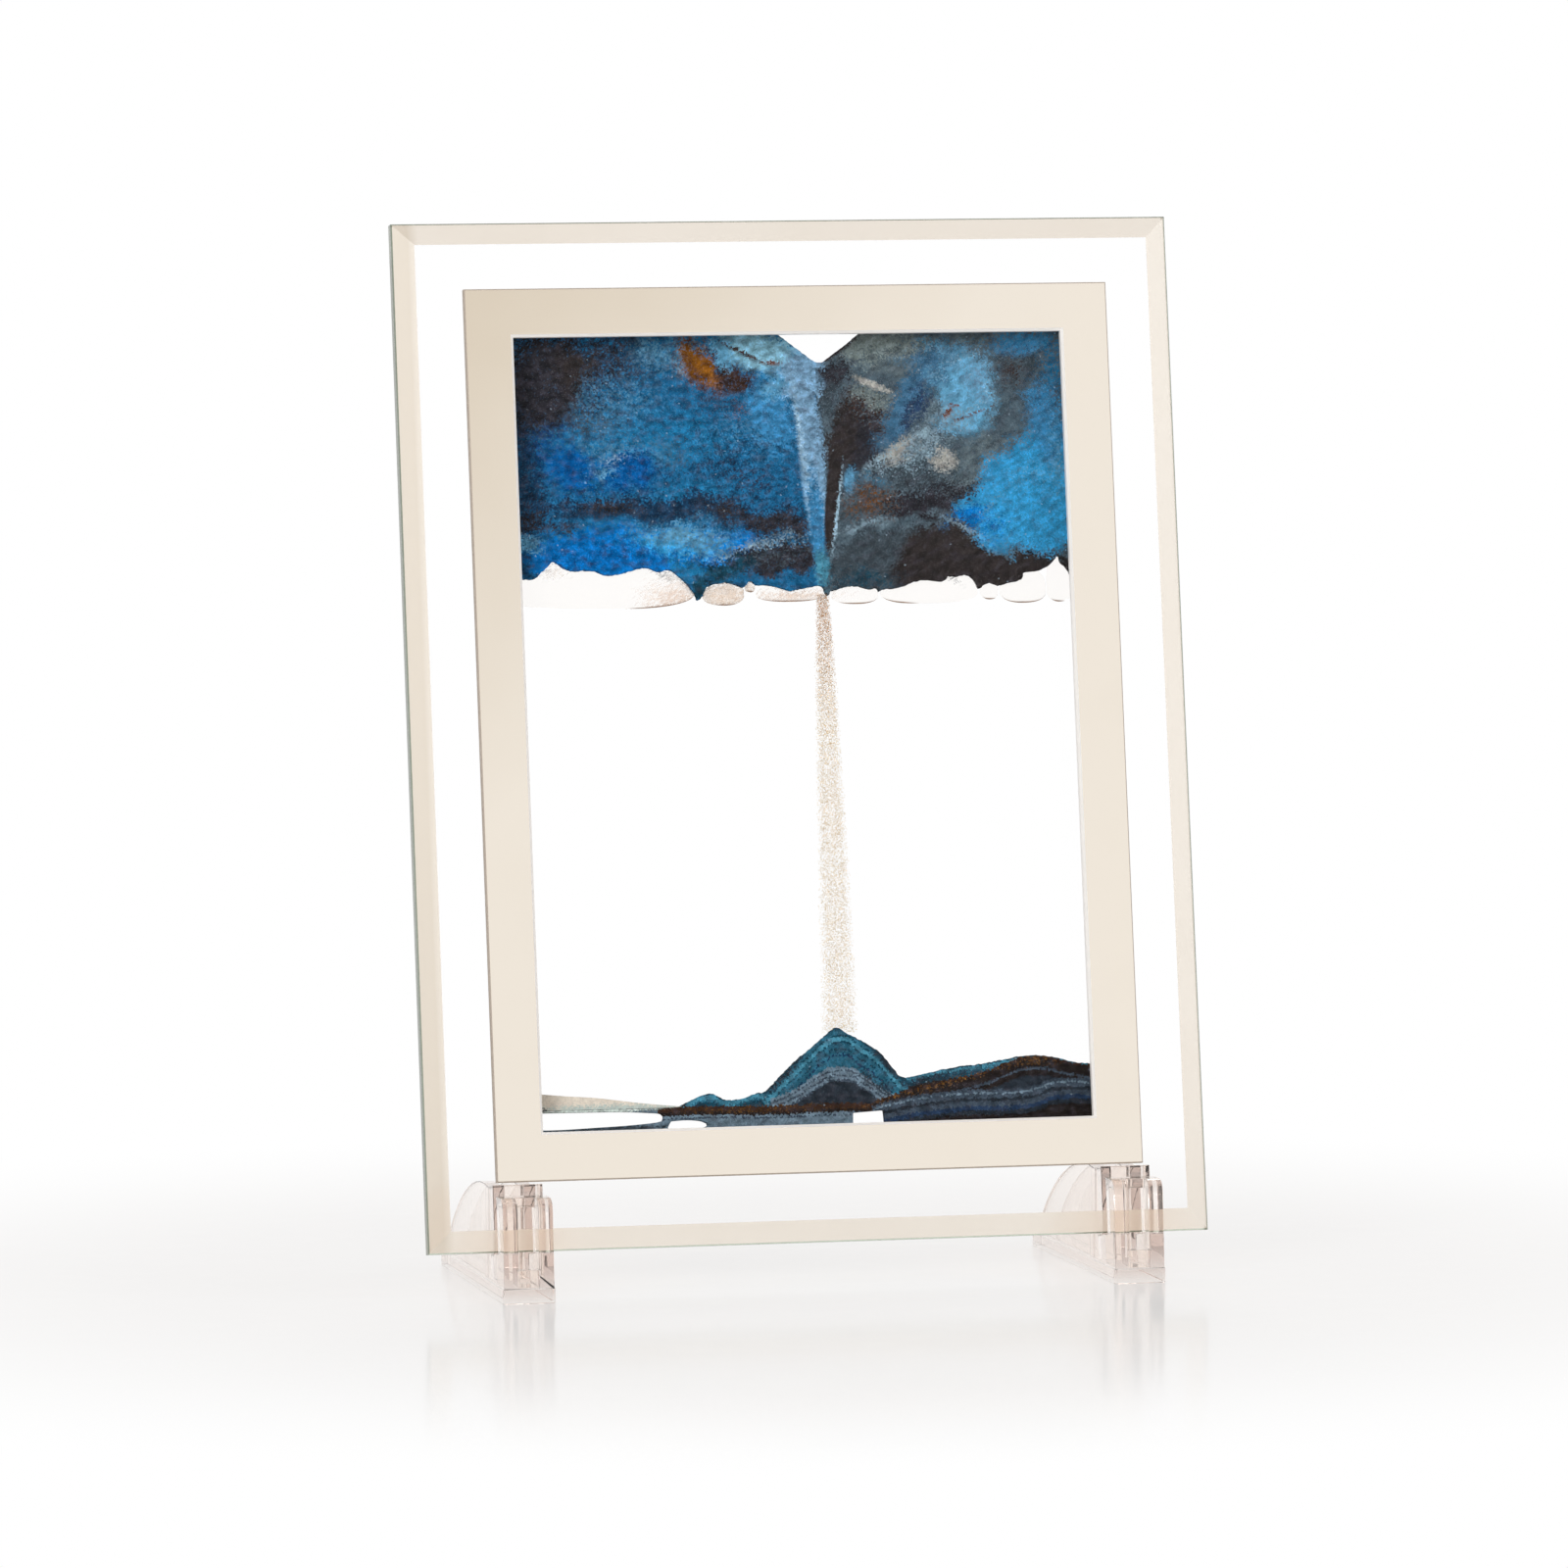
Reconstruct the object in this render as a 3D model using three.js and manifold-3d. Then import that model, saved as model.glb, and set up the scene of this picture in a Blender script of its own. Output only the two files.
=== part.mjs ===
// A moving sand picture: a sealed cell of liquid, air and coloured sand behind a bevelled glass pane,
// leaning back in two clear moulded feet. Millimetres, +Z up, the picture faces -Y.
// The origin is on the table, under the middle of the object.
import * as THREE from "three";
import { mergeVertices } from "three/addons/utils/BufferGeometryUtils.js";
import Module from "manifold-3d";

const wasm = await Module();
wasm.setup();

// Glass and border
const WINDOW_W = 127; // opening of the border, as wide as a standard print
const WINDOW_H = 179.5;
const BORDER = 11; // width of the mirrored border
const MARGIN = 15.5; // bare pane left all round the border
const PANE_T = 5;
const BEVEL_W = 5; // ground bevel round the front of the pane
const BEVEL_DEPTH = 1.6;
const FRONT_BORDER_T = 2;
const BACK_GLASS_T = 3;
const BACK_BORDER_T = 1.5;
const BOND = 0.3; // bond line or running clearance between two neighbours

// Sealed cell
const CELL_INSET = 3; // the cell's edge lies this far inside the border's outer edge, out of sight
const SPACER_T = 4;
const SPACER_SETBACK = 2.4; // the spacer's opening starts this far behind the border's inner edge
const BACK_SETBACK = 3.2; // the back border opens this much wider all round, so it can't show through
const SEALANT_W = 1.2; // bead that closes the groove outside the spacer
const PLUG_INSET = 23.5; // filling port in the top of the spacer, from the cell's right side
const PLUG_R = 1;
const PLUG_HEAD_R = 1.3;
const PLUG_HEAD_L = 1;

// Sand, liquid and air. Heights are measured from the cell's floor, or down from its roof.
// A station runs from -1 at the left wall of the cell to +1 at the right wall.
const HANG = 61.4; // how far the upper sand hangs below the roof
const NOTCH = { middle: 0.13, depth: 8.4, left: -0.0235, right: 0.2525 }; // dip where the sand has sunk
const THROAT = { station: 0.101, half: 1.1 }; // gap that the sand falls through
const FUNNEL_BOW = 1.25; // 1 is a straight-sided funnel
const HILL = [
  [0.098, 9],
  [0.343, 13.5],
  [0.519, 17.3],
  [0.587, 15],
  [0.695, 9.5],
  [0.802, 8.2],
  [1, 8],
]; // top of the black sand, above the bottom of the upper sand
const BED = [
  [-0.548, 3.8],
  [0.117, 4.6],
  [0.303, 7.2],
  [0.509, 8],
  [0.714, 11.8],
  [0.851, 12.6],
  [1, 12],
]; // slate sand on the floor
const GOLD = [
  [-0.548, 6.8],
  [-0.47, 7.6],
  [-0.127, 7.1],
  [0.157, 6.8],
  [0.303, 9],
  [0.509, 10],
  [0.714, 13.6],
  [0.851, 14.3],
  [1, 13.7],
]; // top of the gold streak
const MOUND = [
  [-0.489, 8.3],
  [-0.431, 9.2],
  [-0.375, 10.2],
  [-0.294, 8.5],
  [-0.245, 9.5],
  [-0.21, 8.8],
]; // low ripple left of the peak
const PEAK = [
  [-0.194, 8.6],
  [-0.049, 18.3],
  [0.045, 22.8],
  [0.087, 24.4],
  [0.126, 23],
  [0.213, 19.3],
  [0.312, 11],
]; // cone that the falling sand builds
const DRIFT = [
  [0.326, 12.1],
  [0.436, 13.3],
  [0.577, 14.8],
  [0.718, 16.1],
  [0.79, 16.4],
  [0.877, 15.9],
  [1, 14.9],
]; // blue drift against the right wall
const STREAM_TOP_W = 2;
const STREAM_BASE_W = 6.9;
const STREAM_T = 1.8; // the falling grains keep clear of both sheets of glass
const STREAM_BOW = 1.4; // 1 widens evenly
const STREAM_RINGS = 9;
const STREAM_SIDES = 10;
const BUBBLES = [
  { station: -0.668, span: 0.564, height: 7, rise: 1.2, humps: 2, swell: 0.7 },
  { station: -0.276, span: 0.137, height: 4.4, rise: -0.1, humps: 1, swell: 0.2 },
  { station: -0.172, span: 0.027, height: 1.8, rise: 0.5, humps: 1, swell: 0 },
  { station: -0.033, span: 0.229, height: 3.6, rise: -0.5, humps: 2, swell: 0.2 },
  { station: 0.202, span: 0.153, height: 3.6, rise: -0.5, humps: 1, swell: 0.2 },
  { station: 0.445, span: 0.298, height: 5, rise: -0.1, humps: 1, swell: 0.5 },
  { station: 0.64, span: 0.064, height: 4, rise: 0.7, humps: 1, swell: 0 },
  { station: 0.707, span: 0.039, height: 2.4, rise: -0.5, humps: 1, swell: 0 },
  { station: 0.851, span: 0.219, height: 8, rise: 1.5, humps: 1, swell: 0.6 },
]; // air pockets under the upper sand: rise is measured from the sand's bottom to the pocket's middle
const BUBBLE_ROUND = 0.7; // how far a pocket's rim draws in where it meets the glass
const BUBBLE_FULLNESS = 0.8; // 1 is an ellipse, less is squarer
const BUBBLE_STEPS = { wide: 28, small: 14 };
const SMALL_BUBBLE = 0.08; // span up to which a pocket takes the small count of steps

// Feet
const LEAN = THREE.MathUtils.degToRad(8.7);
const PANE_LIFT = 10.85; // pane's lower front edge above the table
const FOOT_INSETS = { left_foot: 21.2, right_foot: 18.3 }; // from the pane's side to the foot's middle
const FOOT_W = 12;
const FOOT_L = 80;
const FOOT_TOE = 8; // foot in front of the pane's lower front edge
const FOOT_BASE_T = 3.3;
const FOOT_CORNER_R = 1;
const BLOCK_INSET = 0.3; // step of the base round the block that holds the pane
const BLOCK_WALL = 3.4;
const FIN_INSET = 0.9; // wider step of the base along the two fins
const FIN_T = 3.2;
const FRONT_PRONG = 12.5; // grip of the front prong on the pane
const TOE_RAKE = 1.2; // the front face leans back this much
const TOE_ROUND = 3.5;
const BRIDGE_T = 2.2; // plate that joins the block's walls over the front prong
const TOE_WEB_H = 7.5;
const WEB_T = 2.5;
const POST_T = 7; // upright behind the pane that ties the walls
const FIN_SHOULDER = { run: 24, rise: 3 }; // handles of the fin's curve
const FIN_TAIL = { run: 6, rise: 9 };
const FUSE = 0.4; // how far parts of one moulding run into each other

// Sizes that follow
const FRAME_W = WINDOW_W + 2 * BORDER;
const FRAME_H = WINDOW_H + 2 * BORDER;
const CELL_W = FRAME_W - 2 * CELL_INSET;
const CELL_H = FRAME_H - 2 * CELL_INSET;
const PANE_W = FRAME_W + 2 * MARGIN;
const PANE_H = FRAME_H + 2 * MARGIN;
const MIDDLE = PANE_H / 2;
const CAVITY_W = WINDOW_W + 2 * SPACER_SETBACK;
const CAVITY_H = WINDOW_H + 2 * SPACER_SETBACK;
const SPACER_FRONT = PANE_T + BOND;
const SPACER_BACK = SPACER_FRONT + SPACER_T;
const GLASS_FRONT = SPACER_BACK + BOND;
const GLASS_BACK = GLASS_FRONT + BACK_GLASS_T;
const CELL_BACK = GLASS_BACK + BOND + BACK_BORDER_T;
const SPACER_W = CELL_W - 2 * (SEALANT_W + BOND);
const SPACER_H = CELL_H - 2 * (SEALANT_W + BOND);
const PORT_DEPTH = (SPACER_FRONT + SPACER_BACK) / 2;
const PORT_X = CELL_W / 2 - PLUG_INSET;
const FILL_HALF = CAVITY_W / 2 - BOND;
const FLOOR = MIDDLE - CAVITY_H / 2 + BOND;
const ROOF = MIDDLE + CAVITY_H / 2 - BOND;
const HANG_Z = ROOF - HANG;
const PANE_Y = FOOT_TOE - FOOT_L / 2;
const REAR_PRONG = MARGIN - BOND; // the prong behind the pane ends under the border
const PROFILE_STEPS = 28; // facets along a sand surface
const FUNNEL_STEPS = 8;
const CURVE_STEPS = 14; // facets along a foot's curves
const CORNER_STEPS = 4;
const TURN_STEPS = 20; // facets round the port

// Finishes
const clearGlass = { color: 0xf4f8f4, roughness: 0.02, metalness: 0, transparent: true, opacity: 0.25 };
const champagneMirror = { color: 0xeae2d5, roughness: 0.12, metalness: 0.6 };
const greySilicone = { color: 0xa9a69c, roughness: 0.7, metalness: 0 };
const clearPlastic = { color: 0xf3eef0, roughness: 0.05, metalness: 0, transparent: true, opacity: 0.35 };
const clearLiquid = { color: 0xffffff, roughness: 0, metalness: 0, transparent: true, opacity: 0.08 };
const trappedAir = { color: 0xf7f1ea, roughness: 0.05, metalness: 0, transparent: true, opacity: 0.5 };
const sand = (color) => ({ color, roughness: 0.9, metalness: 0 });
const blueSand = sand(0x1e5a96);
const paleSand = sand(0x5d8fc4);
const slateSand = sand(0x46535f);
const blackSand = sand(0x1c1d20);
const goldSand = sand(0x6a4420);
const fallingSand = sand(0xd8c9b8);

// Solids from geometry and back
function solidOf(geometry) {
  const bare = geometry.clone();
  bare.deleteAttribute("normal");
  bare.deleteAttribute("uv");
  const merged = mergeVertices(bare, 1e-4);
  return new wasm.Manifold(
    new wasm.Mesh({
      numProp: 3,
      vertProperties: merged.attributes.position.array,
      triVerts: new Uint32Array(merged.index.array),
    }),
  );
}

function geometryOf(solid) {
  const mesh = solid.getMesh();
  const geometry = new THREE.BufferGeometry();
  geometry.setAttribute("position", new THREE.BufferAttribute(mesh.vertProperties, 3));
  geometry.setIndex(new THREE.BufferAttribute(mesh.triVerts, 1));
  geometry.computeVertexNormals();
  return geometry;
}

function cut(geometry, ...cutters) {
  return geometryOf(cutters.reduce((solid, cutter) => solid.subtract(solidOf(cutter)), solidOf(geometry)));
}

function join(...geometries) {
  return geometryOf(geometries.map(solidOf).reduce((solid, next) => solid.add(next)));
}

// Outlines and plates in the pane's own frame: x across, y back from the pane's front, z up the pane
function rectangle(width, height) {
  const corners = [[-1, -1], [1, -1], [1, 1], [-1, 1]];
  return corners.map(([sx, sz]) => new THREE.Vector2((sx * width) / 2, MIDDLE + (sz * height) / 2));
}

function plate(outline, front, back, hole) {
  const shape = new THREE.Shape(outline);
  if (hole) shape.holes.push(new THREE.Path(hole));
  const geometry = new THREE.ExtrudeGeometry(shape, { depth: back - front, bevelEnabled: false });
  return geometry.rotateX(Math.PI / 2).translate(0, back, 0);
}

// A closed skin over rings of points that follow each other, with a flat cap on each end
function loft(rings, capPlane) {
  const count = rings[0].length;
  const points = rings.flat();
  const faces = [];
  for (let ring = 0; ring + 1 < rings.length; ring++)
    for (let i = 0; i < count; i++) {
      const a = ring * count + i;
      const b = ring * count + ((i + 1) % count);
      faces.push([a, b, b + count], [a, b + count, a + count]);
    }
  const capFaces = THREE.ShapeUtils.triangulateShape(rings[0].map(capPlane), []);
  const last = (rings.length - 1) * count;
  for (const [a, b, c] of capFaces) faces.push([c, b, a], [a + last, b + last, c + last]);
  const geometry = new THREE.BufferGeometry().setFromPoints(points);
  geometry.setIndex(faces.flat());
  return geometry.toNonIndexed();
}

// The ground bevel is a smaller front face joined to the full outline behind it
function bevelledPane() {
  const ring = (inset, depth) =>
    rectangle(PANE_W - 2 * inset, PANE_H - 2 * inset).map((p) => new THREE.Vector3(p.x, depth, p.y));
  const rings = [ring(BEVEL_W, 0), ring(0, BEVEL_DEPTH), ring(0, PANE_T)];
  return loft(rings.reverse(), (p) => new THREE.Vector2(p.x, p.z));
}

// Filling port and its stopper, both turned about the port's axis
function turned(profile) {
  const points = profile.map(([r, z]) => new THREE.Vector2(r, z));
  const geometry = new THREE.LatheGeometry(points, TURN_STEPS);
  return geometry.rotateX(Math.PI / 2).translate(PORT_X, PORT_DEPTH, 0);
}

const PORT_TOP = MIDDLE + CELL_H / 2;
const PORT_FOOT = MIDDLE + CAVITY_H / 2;
const HEAD_SEAT = PORT_TOP - PLUG_HEAD_L;

function stopper() {
  return turned([
    [0, PORT_FOOT],
    [PLUG_R, PORT_FOOT],
    [PLUG_R, HEAD_SEAT],
    [PLUG_HEAD_R, HEAD_SEAT],
    [PLUG_HEAD_R, PORT_TOP],
    [0, PORT_TOP],
  ]);
}

function portBore() {
  return turned([
    [0, PORT_FOOT - BORDER],
    [PLUG_R + BOND, PORT_FOOT - BORDER],
    [PLUG_R + BOND, HEAD_SEAT - BOND],
    [PLUG_HEAD_R + BOND, HEAD_SEAT - BOND],
    [PLUG_HEAD_R + BOND, PORT_TOP + BORDER],
    [0, PORT_TOP + BORDER],
  ]);
}

// Landscape: a smooth height over stations, and the sand between two heights
const across = (station) => station * FILL_HALF;

function surface(points) {
  const slope = (i) => {
    const before = points[Math.max(i - 1, 0)];
    const after = points[Math.min(i + 1, points.length - 1)];
    return (after[1] - before[1]) / (after[0] - before[0]);
  };
  return (station) => {
    let i = 0;
    while (i < points.length - 2 && station > points[i + 1][0]) i++;
    const span = points[i + 1][0] - points[i][0];
    const k = THREE.MathUtils.clamp((station - points[i][0]) / span, 0, 1);
    const [start, end] = [points[i][1], points[i + 1][1]];
    const [rise, fall] = [slope(i) * span, slope(i + 1) * span];
    const bend = rise + fall - 2 * (end - start);
    return start + k * (rise + k * (3 * (end - start) - 2 * rise - fall + k * bend));
  };
}

function between(lower, upper, from, to) {
  const step = (to - from) / PROFILE_STEPS;
  const stations = Array.from({ length: PROFILE_STEPS + 1 }, (_, i) => from + i * step);
  const floor = stations.map((s) => new THREE.Vector2(across(s), lower(s)));
  const top = stations.map((s) => new THREE.Vector2(across(s), upper(s)));
  return floor.concat(top.reverse());
}

const fill = (outline) => plate(outline, SPACER_FRONT, SPACER_BACK);
const fromFloor = (points) => {
  const height = surface(points);
  return (station) => FLOOR + height(station);
};
const above = (height, gap) => (station) => height(station) + gap;

// Side of the funnel at a height, as an x: side is -1 for left and +1 for right
function funnelSide(side, z) {
  const k = Math.max((z - HANG_Z) / HANG, 0) ** FUNNEL_BOW;
  const top = across(side < 0 ? NOTCH.left : NOTCH.right);
  return THREE.MathUtils.lerp(across(THROAT.station) + side * THROAT.half, top, k);
}

const funnelHeights = Array.from({ length: FUNNEL_STEPS + 1 }, (_, i) => HANG_Z + (HANG * i) / FUNNEL_STEPS);
const funnelEdge = (side, shift) =>
  funnelHeights.map((z) => new THREE.Vector2(funnelSide(side, z) + shift, z));

// Air pockets: a rounded outline with a flat underside and low humps on top
function bubbleOutline(bubble, grow) {
  const [halfW, halfH] = [across(bubble.span) / 2 + grow, bubble.height / 2 + grow];
  const steps = bubble.span > SMALL_BUBBLE ? BUBBLE_STEPS.wide : BUBBLE_STEPS.small;
  return Array.from({ length: steps }, (_, i) => {
    const turn = (i / steps) * 2 * Math.PI;
    const [c, s] = [Math.cos(turn), Math.sin(turn)];
    const hump = s > 0 ? bubble.swell * s * Math.cos(2 * Math.PI * bubble.humps * c) : 0;
    const x = Math.sign(c) * Math.abs(c) ** BUBBLE_FULLNESS * halfW;
    const z = Math.sign(s) * Math.abs(s) ** BUBBLE_FULLNESS * halfH + hump;
    return new THREE.Vector2(across(bubble.station) + x, HANG_Z + bubble.rise + z);
  });
}

function bubblePocket(bubble) {
  const ring = (draw, depth) =>
    bubbleOutline(bubble, -draw).map((p) => new THREE.Vector3(p.x, depth, p.y));
  const waist = (SPACER_FRONT + SPACER_BACK) / 2;
  const rings = [ring(BUBBLE_ROUND, SPACER_BACK), ring(0, waist), ring(BUBBLE_ROUND, SPACER_FRONT)];
  return loft(rings, (p) => new THREE.Vector2(p.x, p.z));
}

const bubbleRoom = BUBBLES.map((bubble) => fill(bubbleOutline(bubble, BOND)));

// Upper sand: blue on the left, a pale funnel down to the throat, slate and a black hill on the right
const hillTop = surface(HILL);
const hillZ = (station) => HANG_Z + hillTop(station);
const wall = (side, z) => new THREE.Vector2(side * FILL_HALF, z);
const PAST_WALL = 1.1; // station beyond the right wall, for a cut that runs out of the sand
const leftOfFunnel = () => fill([wall(-1, HANG_Z), ...funnelEdge(-1, -BOND), wall(-1, ROOF)]);
const rightOfFunnel = () => fill([...funnelEdge(1, BOND).reverse(), wall(1, HANG_Z), wall(1, ROOF)]);
const underHill = (gap) =>
  fill(between(() => HANG_Z - BORDER, above(hillZ, gap), THROAT.station, PAST_WALL));

function funnelSand() {
  const tip = new THREE.Vector2(across(NOTCH.middle), ROOF - NOTCH.depth);
  return fill([...funnelEdge(1, 0), tip, ...funnelEdge(-1, 0).reverse()]);
}

function hillSand() {
  return geometryOf(solidOf(rightOfFunnel()).intersect(solidOf(underHill(0))));
}

// Lower sand: slate bed, gold streak, ripple, cone and drift, each lying on the one before
const bedZ = fromFloor(BED);
const goldZ = fromFloor(GOLD);
const ends = (points) => [points[0][0], points[points.length - 1][0]];
const layer = (lower, points) => fill(between(lower, fromFloor(points), ...ends(points)));

const lowerSand = {
  lower_slate_bed: { geometry: layer(() => FLOOR, BED), finish: slateSand },
  lower_gold_streak: { geometry: layer(above(bedZ, BOND), GOLD), finish: goldSand },
  lower_blue_ripple: { geometry: layer(above(goldZ, BOND), MOUND), finish: blueSand },
  lower_blue_cone: { geometry: layer(above(goldZ, BOND), PEAK), finish: blueSand },
  lower_blue_drift: { geometry: layer(above(goldZ, BOND), DRIFT), finish: blueSand },
};

// Falling grains: a slim flat column that widens from the throat to the cone
const [TIP_STATION, TIP_HEIGHT] = PEAK.reduce((best, point) => (point[1] > best[1] ? point : best));

function streamRings(grow) {
  const foot = FLOOR + TIP_HEIGHT + BOND - grow;
  const head = HANG_Z - BOND + grow;
  return Array.from({ length: STREAM_RINGS }, (_, i) => {
    const k = i / (STREAM_RINGS - 1);
    const middle = across(THREE.MathUtils.lerp(TIP_STATION, THROAT.station, k));
    const halfW = THREE.MathUtils.lerp(STREAM_BASE_W, STREAM_TOP_W, k ** STREAM_BOW) / 2 + grow;
    return Array.from({ length: STREAM_SIDES }, (_, j) => {
      const turn = (j / STREAM_SIDES) * 2 * Math.PI;
      const depth = PORT_DEPTH + (STREAM_T / 2 + grow) * Math.sin(turn);
      return new THREE.Vector3(middle + halfW * Math.cos(turn), depth, THREE.MathUtils.lerp(foot, head, k));
    });
  });
}

const stream = (grow) => loft(streamRings(grow), (p) => new THREE.Vector2(p.x, p.y));

// Liquid: what the sand and the air leave of the cell, below the upper sand and in the notch above it
function liquidBody() {
  const tops = [GOLD, MOUND, PEAK, DRIFT].map((points) => {
    const [from, to] = ends(points);
    const sideways = BOND / FILL_HALF;
    const top = above(fromFloor(points), BOND);
    return fill(between(() => FLOOR - BORDER, top, from - sideways, to + sideways));
  });
  const pool = fill([wall(-1, FLOOR), wall(1, FLOOR), wall(1, HANG_Z - BOND), wall(-1, HANG_Z - BOND)]);
  const bodies = solidOf(cut(pool, ...tops, ...bubbleRoom, stream(BOND))).decompose();
  return geometryOf(bodies.sort((a, b) => b.volume() - a.volume())[0]);
}

function notchLiquid() {
  const slack = 2 * BOND;
  const tip = new THREE.Vector2(across(NOTCH.middle), ROOF - NOTCH.depth + slack);
  const corner = (station, shift) => new THREE.Vector2(across(station) + shift, ROOF);
  return fill([tip, corner(NOTCH.right, -slack), corner(NOTCH.left, slack)]);
}

// Foot: a walled block with a slot for the pane, two fins behind it, a base, and webs that tie the walls
const leanUp = new THREE.Vector2(Math.sin(LEAN), Math.cos(LEAN));
const leanBack = new THREE.Vector2(Math.cos(LEAN), -Math.sin(LEAN));
const paneFoot = new THREE.Vector2(PANE_Y, PANE_LIFT);
const onPane = (back, up) => paneFoot.clone().addScaledVector(leanBack, back).addScaledVector(leanUp, up);
const SOLE = FOOT_BASE_T - FUSE;
const TOE_Y = BLOCK_INSET - FOOT_L / 2;
const HEEL_Y = FOOT_L / 2 - FIN_INSET;
const FACE_Y = TOE_Y + TOE_RAKE;
const slotFront = (up) => onPane(-BOND, up);
const slotBack = (up) => onPane(PANE_T + BOND, up);
const prongTop = slotFront(FRONT_PRONG);
const prongNose = new THREE.Vector2(FACE_Y + TOE_ROUND, prongTop.y);
const ledgeEnd = onPane(CELL_BACK, REAR_PRONG);

function blockProfile() {
  const corners = [ledgeEnd, slotBack(REAR_PRONG), slotBack(-BOND), slotFront(-BOND), prongTop, prongNose];
  const shape = new THREE.Shape();
  shape.moveTo(TOE_Y, SOLE);
  shape.lineTo(ledgeEnd.x, SOLE);
  for (const corner of corners) shape.lineTo(corner.x, corner.y);
  shape.quadraticCurveTo(FACE_Y, prongNose.y, FACE_Y, prongNose.y - TOE_ROUND);
  shape.lineTo(TOE_Y, SOLE);
  return shape;
}

function finProfile() {
  const shape = new THREE.Shape();
  shape.moveTo(ledgeEnd.x - FUSE, SOLE);
  shape.lineTo(HEEL_Y, SOLE);
  shape.lineTo(HEEL_Y, FOOT_BASE_T);
  shape.bezierCurveTo(
    HEEL_Y - FIN_TAIL.run,
    FOOT_BASE_T + FIN_TAIL.rise,
    ledgeEnd.x + FIN_SHOULDER.run,
    ledgeEnd.y + FIN_SHOULDER.rise,
    ledgeEnd.x,
    ledgeEnd.y,
  );
  shape.lineTo(ledgeEnd.x - FUSE, ledgeEnd.y);
  return shape;
}

// Side profiles are drawn in y and z, and run along x from one value to the other
function sideways(shape, from, to) {
  const settings = { depth: to - from, bevelEnabled: false, curveSegments: CURVE_STEPS };
  const geometry = new THREE.ExtrudeGeometry(shape, settings);
  const turn = new THREE.Matrix4().makeBasis(
    new THREE.Vector3(0, 1, 0),
    new THREE.Vector3(0, 0, 1),
    new THREE.Vector3(1, 0, 0),
  );
  return geometry.applyMatrix4(turn).translate(from, 0, 0);
}

function footBase() {
  const [x, y, r] = [FOOT_W / 2, FOOT_L / 2, FOOT_CORNER_R];
  const shape = new THREE.Shape();
  shape.moveTo(-x + r, -y);
  shape.absarc(x - r, -y + r, r, -Math.PI / 2, 0, false);
  shape.absarc(x - r, y - r, r, 0, Math.PI / 2, false);
  shape.absarc(-x + r, y - r, r, Math.PI / 2, Math.PI, false);
  shape.absarc(-x + r, -y + r, r, Math.PI, 1.5 * Math.PI, false);
  const settings = { depth: FOOT_BASE_T, bevelEnabled: false, curveSegments: CORNER_STEPS };
  return new THREE.ExtrudeGeometry(shape, settings);
}

// A profile extruded on both sides of the foot, from one distance off its middle to another
function bothSides(profile, inner, outer) {
  return [sideways(profile(), -outer, -inner), sideways(profile(), inner, outer)];
}

function foot() {
  const blockHalf = FOOT_W / 2 - BLOCK_INSET;
  const inner = blockHalf - BLOCK_WALL;
  const finHalf = FOOT_W / 2 - FIN_INSET;
  const drop = (back) => onPane(back, (SOLE - PANE_LIFT + back * Math.sin(LEAN)) / Math.cos(LEAN));
  const [near, far] = [PANE_T + BOND, PANE_T + BOND + POST_T];
  const post = new THREE.Shape([drop(near), drop(far), onPane(far, REAR_PRONG), onPane(near, REAR_PRONG)]);
  const toe = TOE_Y + BLOCK_INSET;
  const web = new THREE.Shape([
    new THREE.Vector2(toe, SOLE),
    new THREE.Vector2(toe + WEB_T, SOLE),
    new THREE.Vector2(toe + WEB_T, TOE_WEB_H),
    new THREE.Vector2(toe, TOE_WEB_H),
  ]);
  const underBridge = slotFront(FRONT_PRONG - BRIDGE_T);
  const bridge = new THREE.Shape([
    new THREE.Vector2(prongNose.x, underBridge.y),
    underBridge,
    prongTop,
    prongNose,
  ]);
  const ties = [post, web, bridge].map((shape) => sideways(shape, -inner - FUSE, inner + FUSE));
  const walls = bothSides(blockProfile, inner, blockHalf);
  const fins = bothSides(finProfile, finHalf - FIN_T, finHalf);
  return join(footBase(), ...walls, ...fins, ...ties);
}

// Assembly
const group = new THREE.Group();
const picture = new THREE.Group();
picture.position.set(0, PANE_Y, PANE_LIFT);
picture.rotation.x = -LEAN;
group.add(picture);

function add(parent, name, geometry, finish) {
  const mesh = new THREE.Mesh(geometry, new THREE.MeshStandardMaterial(finish));
  mesh.name = name;
  parent.add(mesh);
  return mesh;
}

const frame = rectangle(FRAME_W, FRAME_H);
const cell = rectangle(CELL_W, CELL_H);
const opening = rectangle(WINDOW_W, WINDOW_H);
const backOpening = rectangle(WINDOW_W + 2 * BACK_SETBACK, WINDOW_H + 2 * BACK_SETBACK);
const cavity = rectangle(CAVITY_W, CAVITY_H);
const spacerEdge = rectangle(SPACER_W, SPACER_H);
const beadInner = rectangle(CELL_W - 2 * SEALANT_W, CELL_H - 2 * SEALANT_W);
const bore = portBore();

add(picture, "front_border", plate(frame, -BOND - FRONT_BORDER_T, -BOND, opening), champagneMirror);
add(picture, "front_glass", bevelledPane(), clearGlass);
add(picture, "spacer_gasket", cut(plate(spacerEdge, SPACER_FRONT, SPACER_BACK, cavity), bore), greySilicone);
add(picture, "edge_sealant", cut(plate(cell, SPACER_FRONT, SPACER_BACK, beadInner), bore), greySilicone);
add(picture, "fill_plug", stopper(), greySilicone);
add(picture, "back_glass", plate(cell, GLASS_FRONT, GLASS_BACK), clearGlass);
add(picture, "back_border", plate(cell, GLASS_BACK + BOND, CELL_BACK, backOpening), champagneMirror);
add(picture, "upper_blue_sand", cut(leftOfFunnel(), ...bubbleRoom), blueSand);
add(picture, "upper_pale_sand", cut(funnelSand(), ...bubbleRoom), paleSand);
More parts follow.
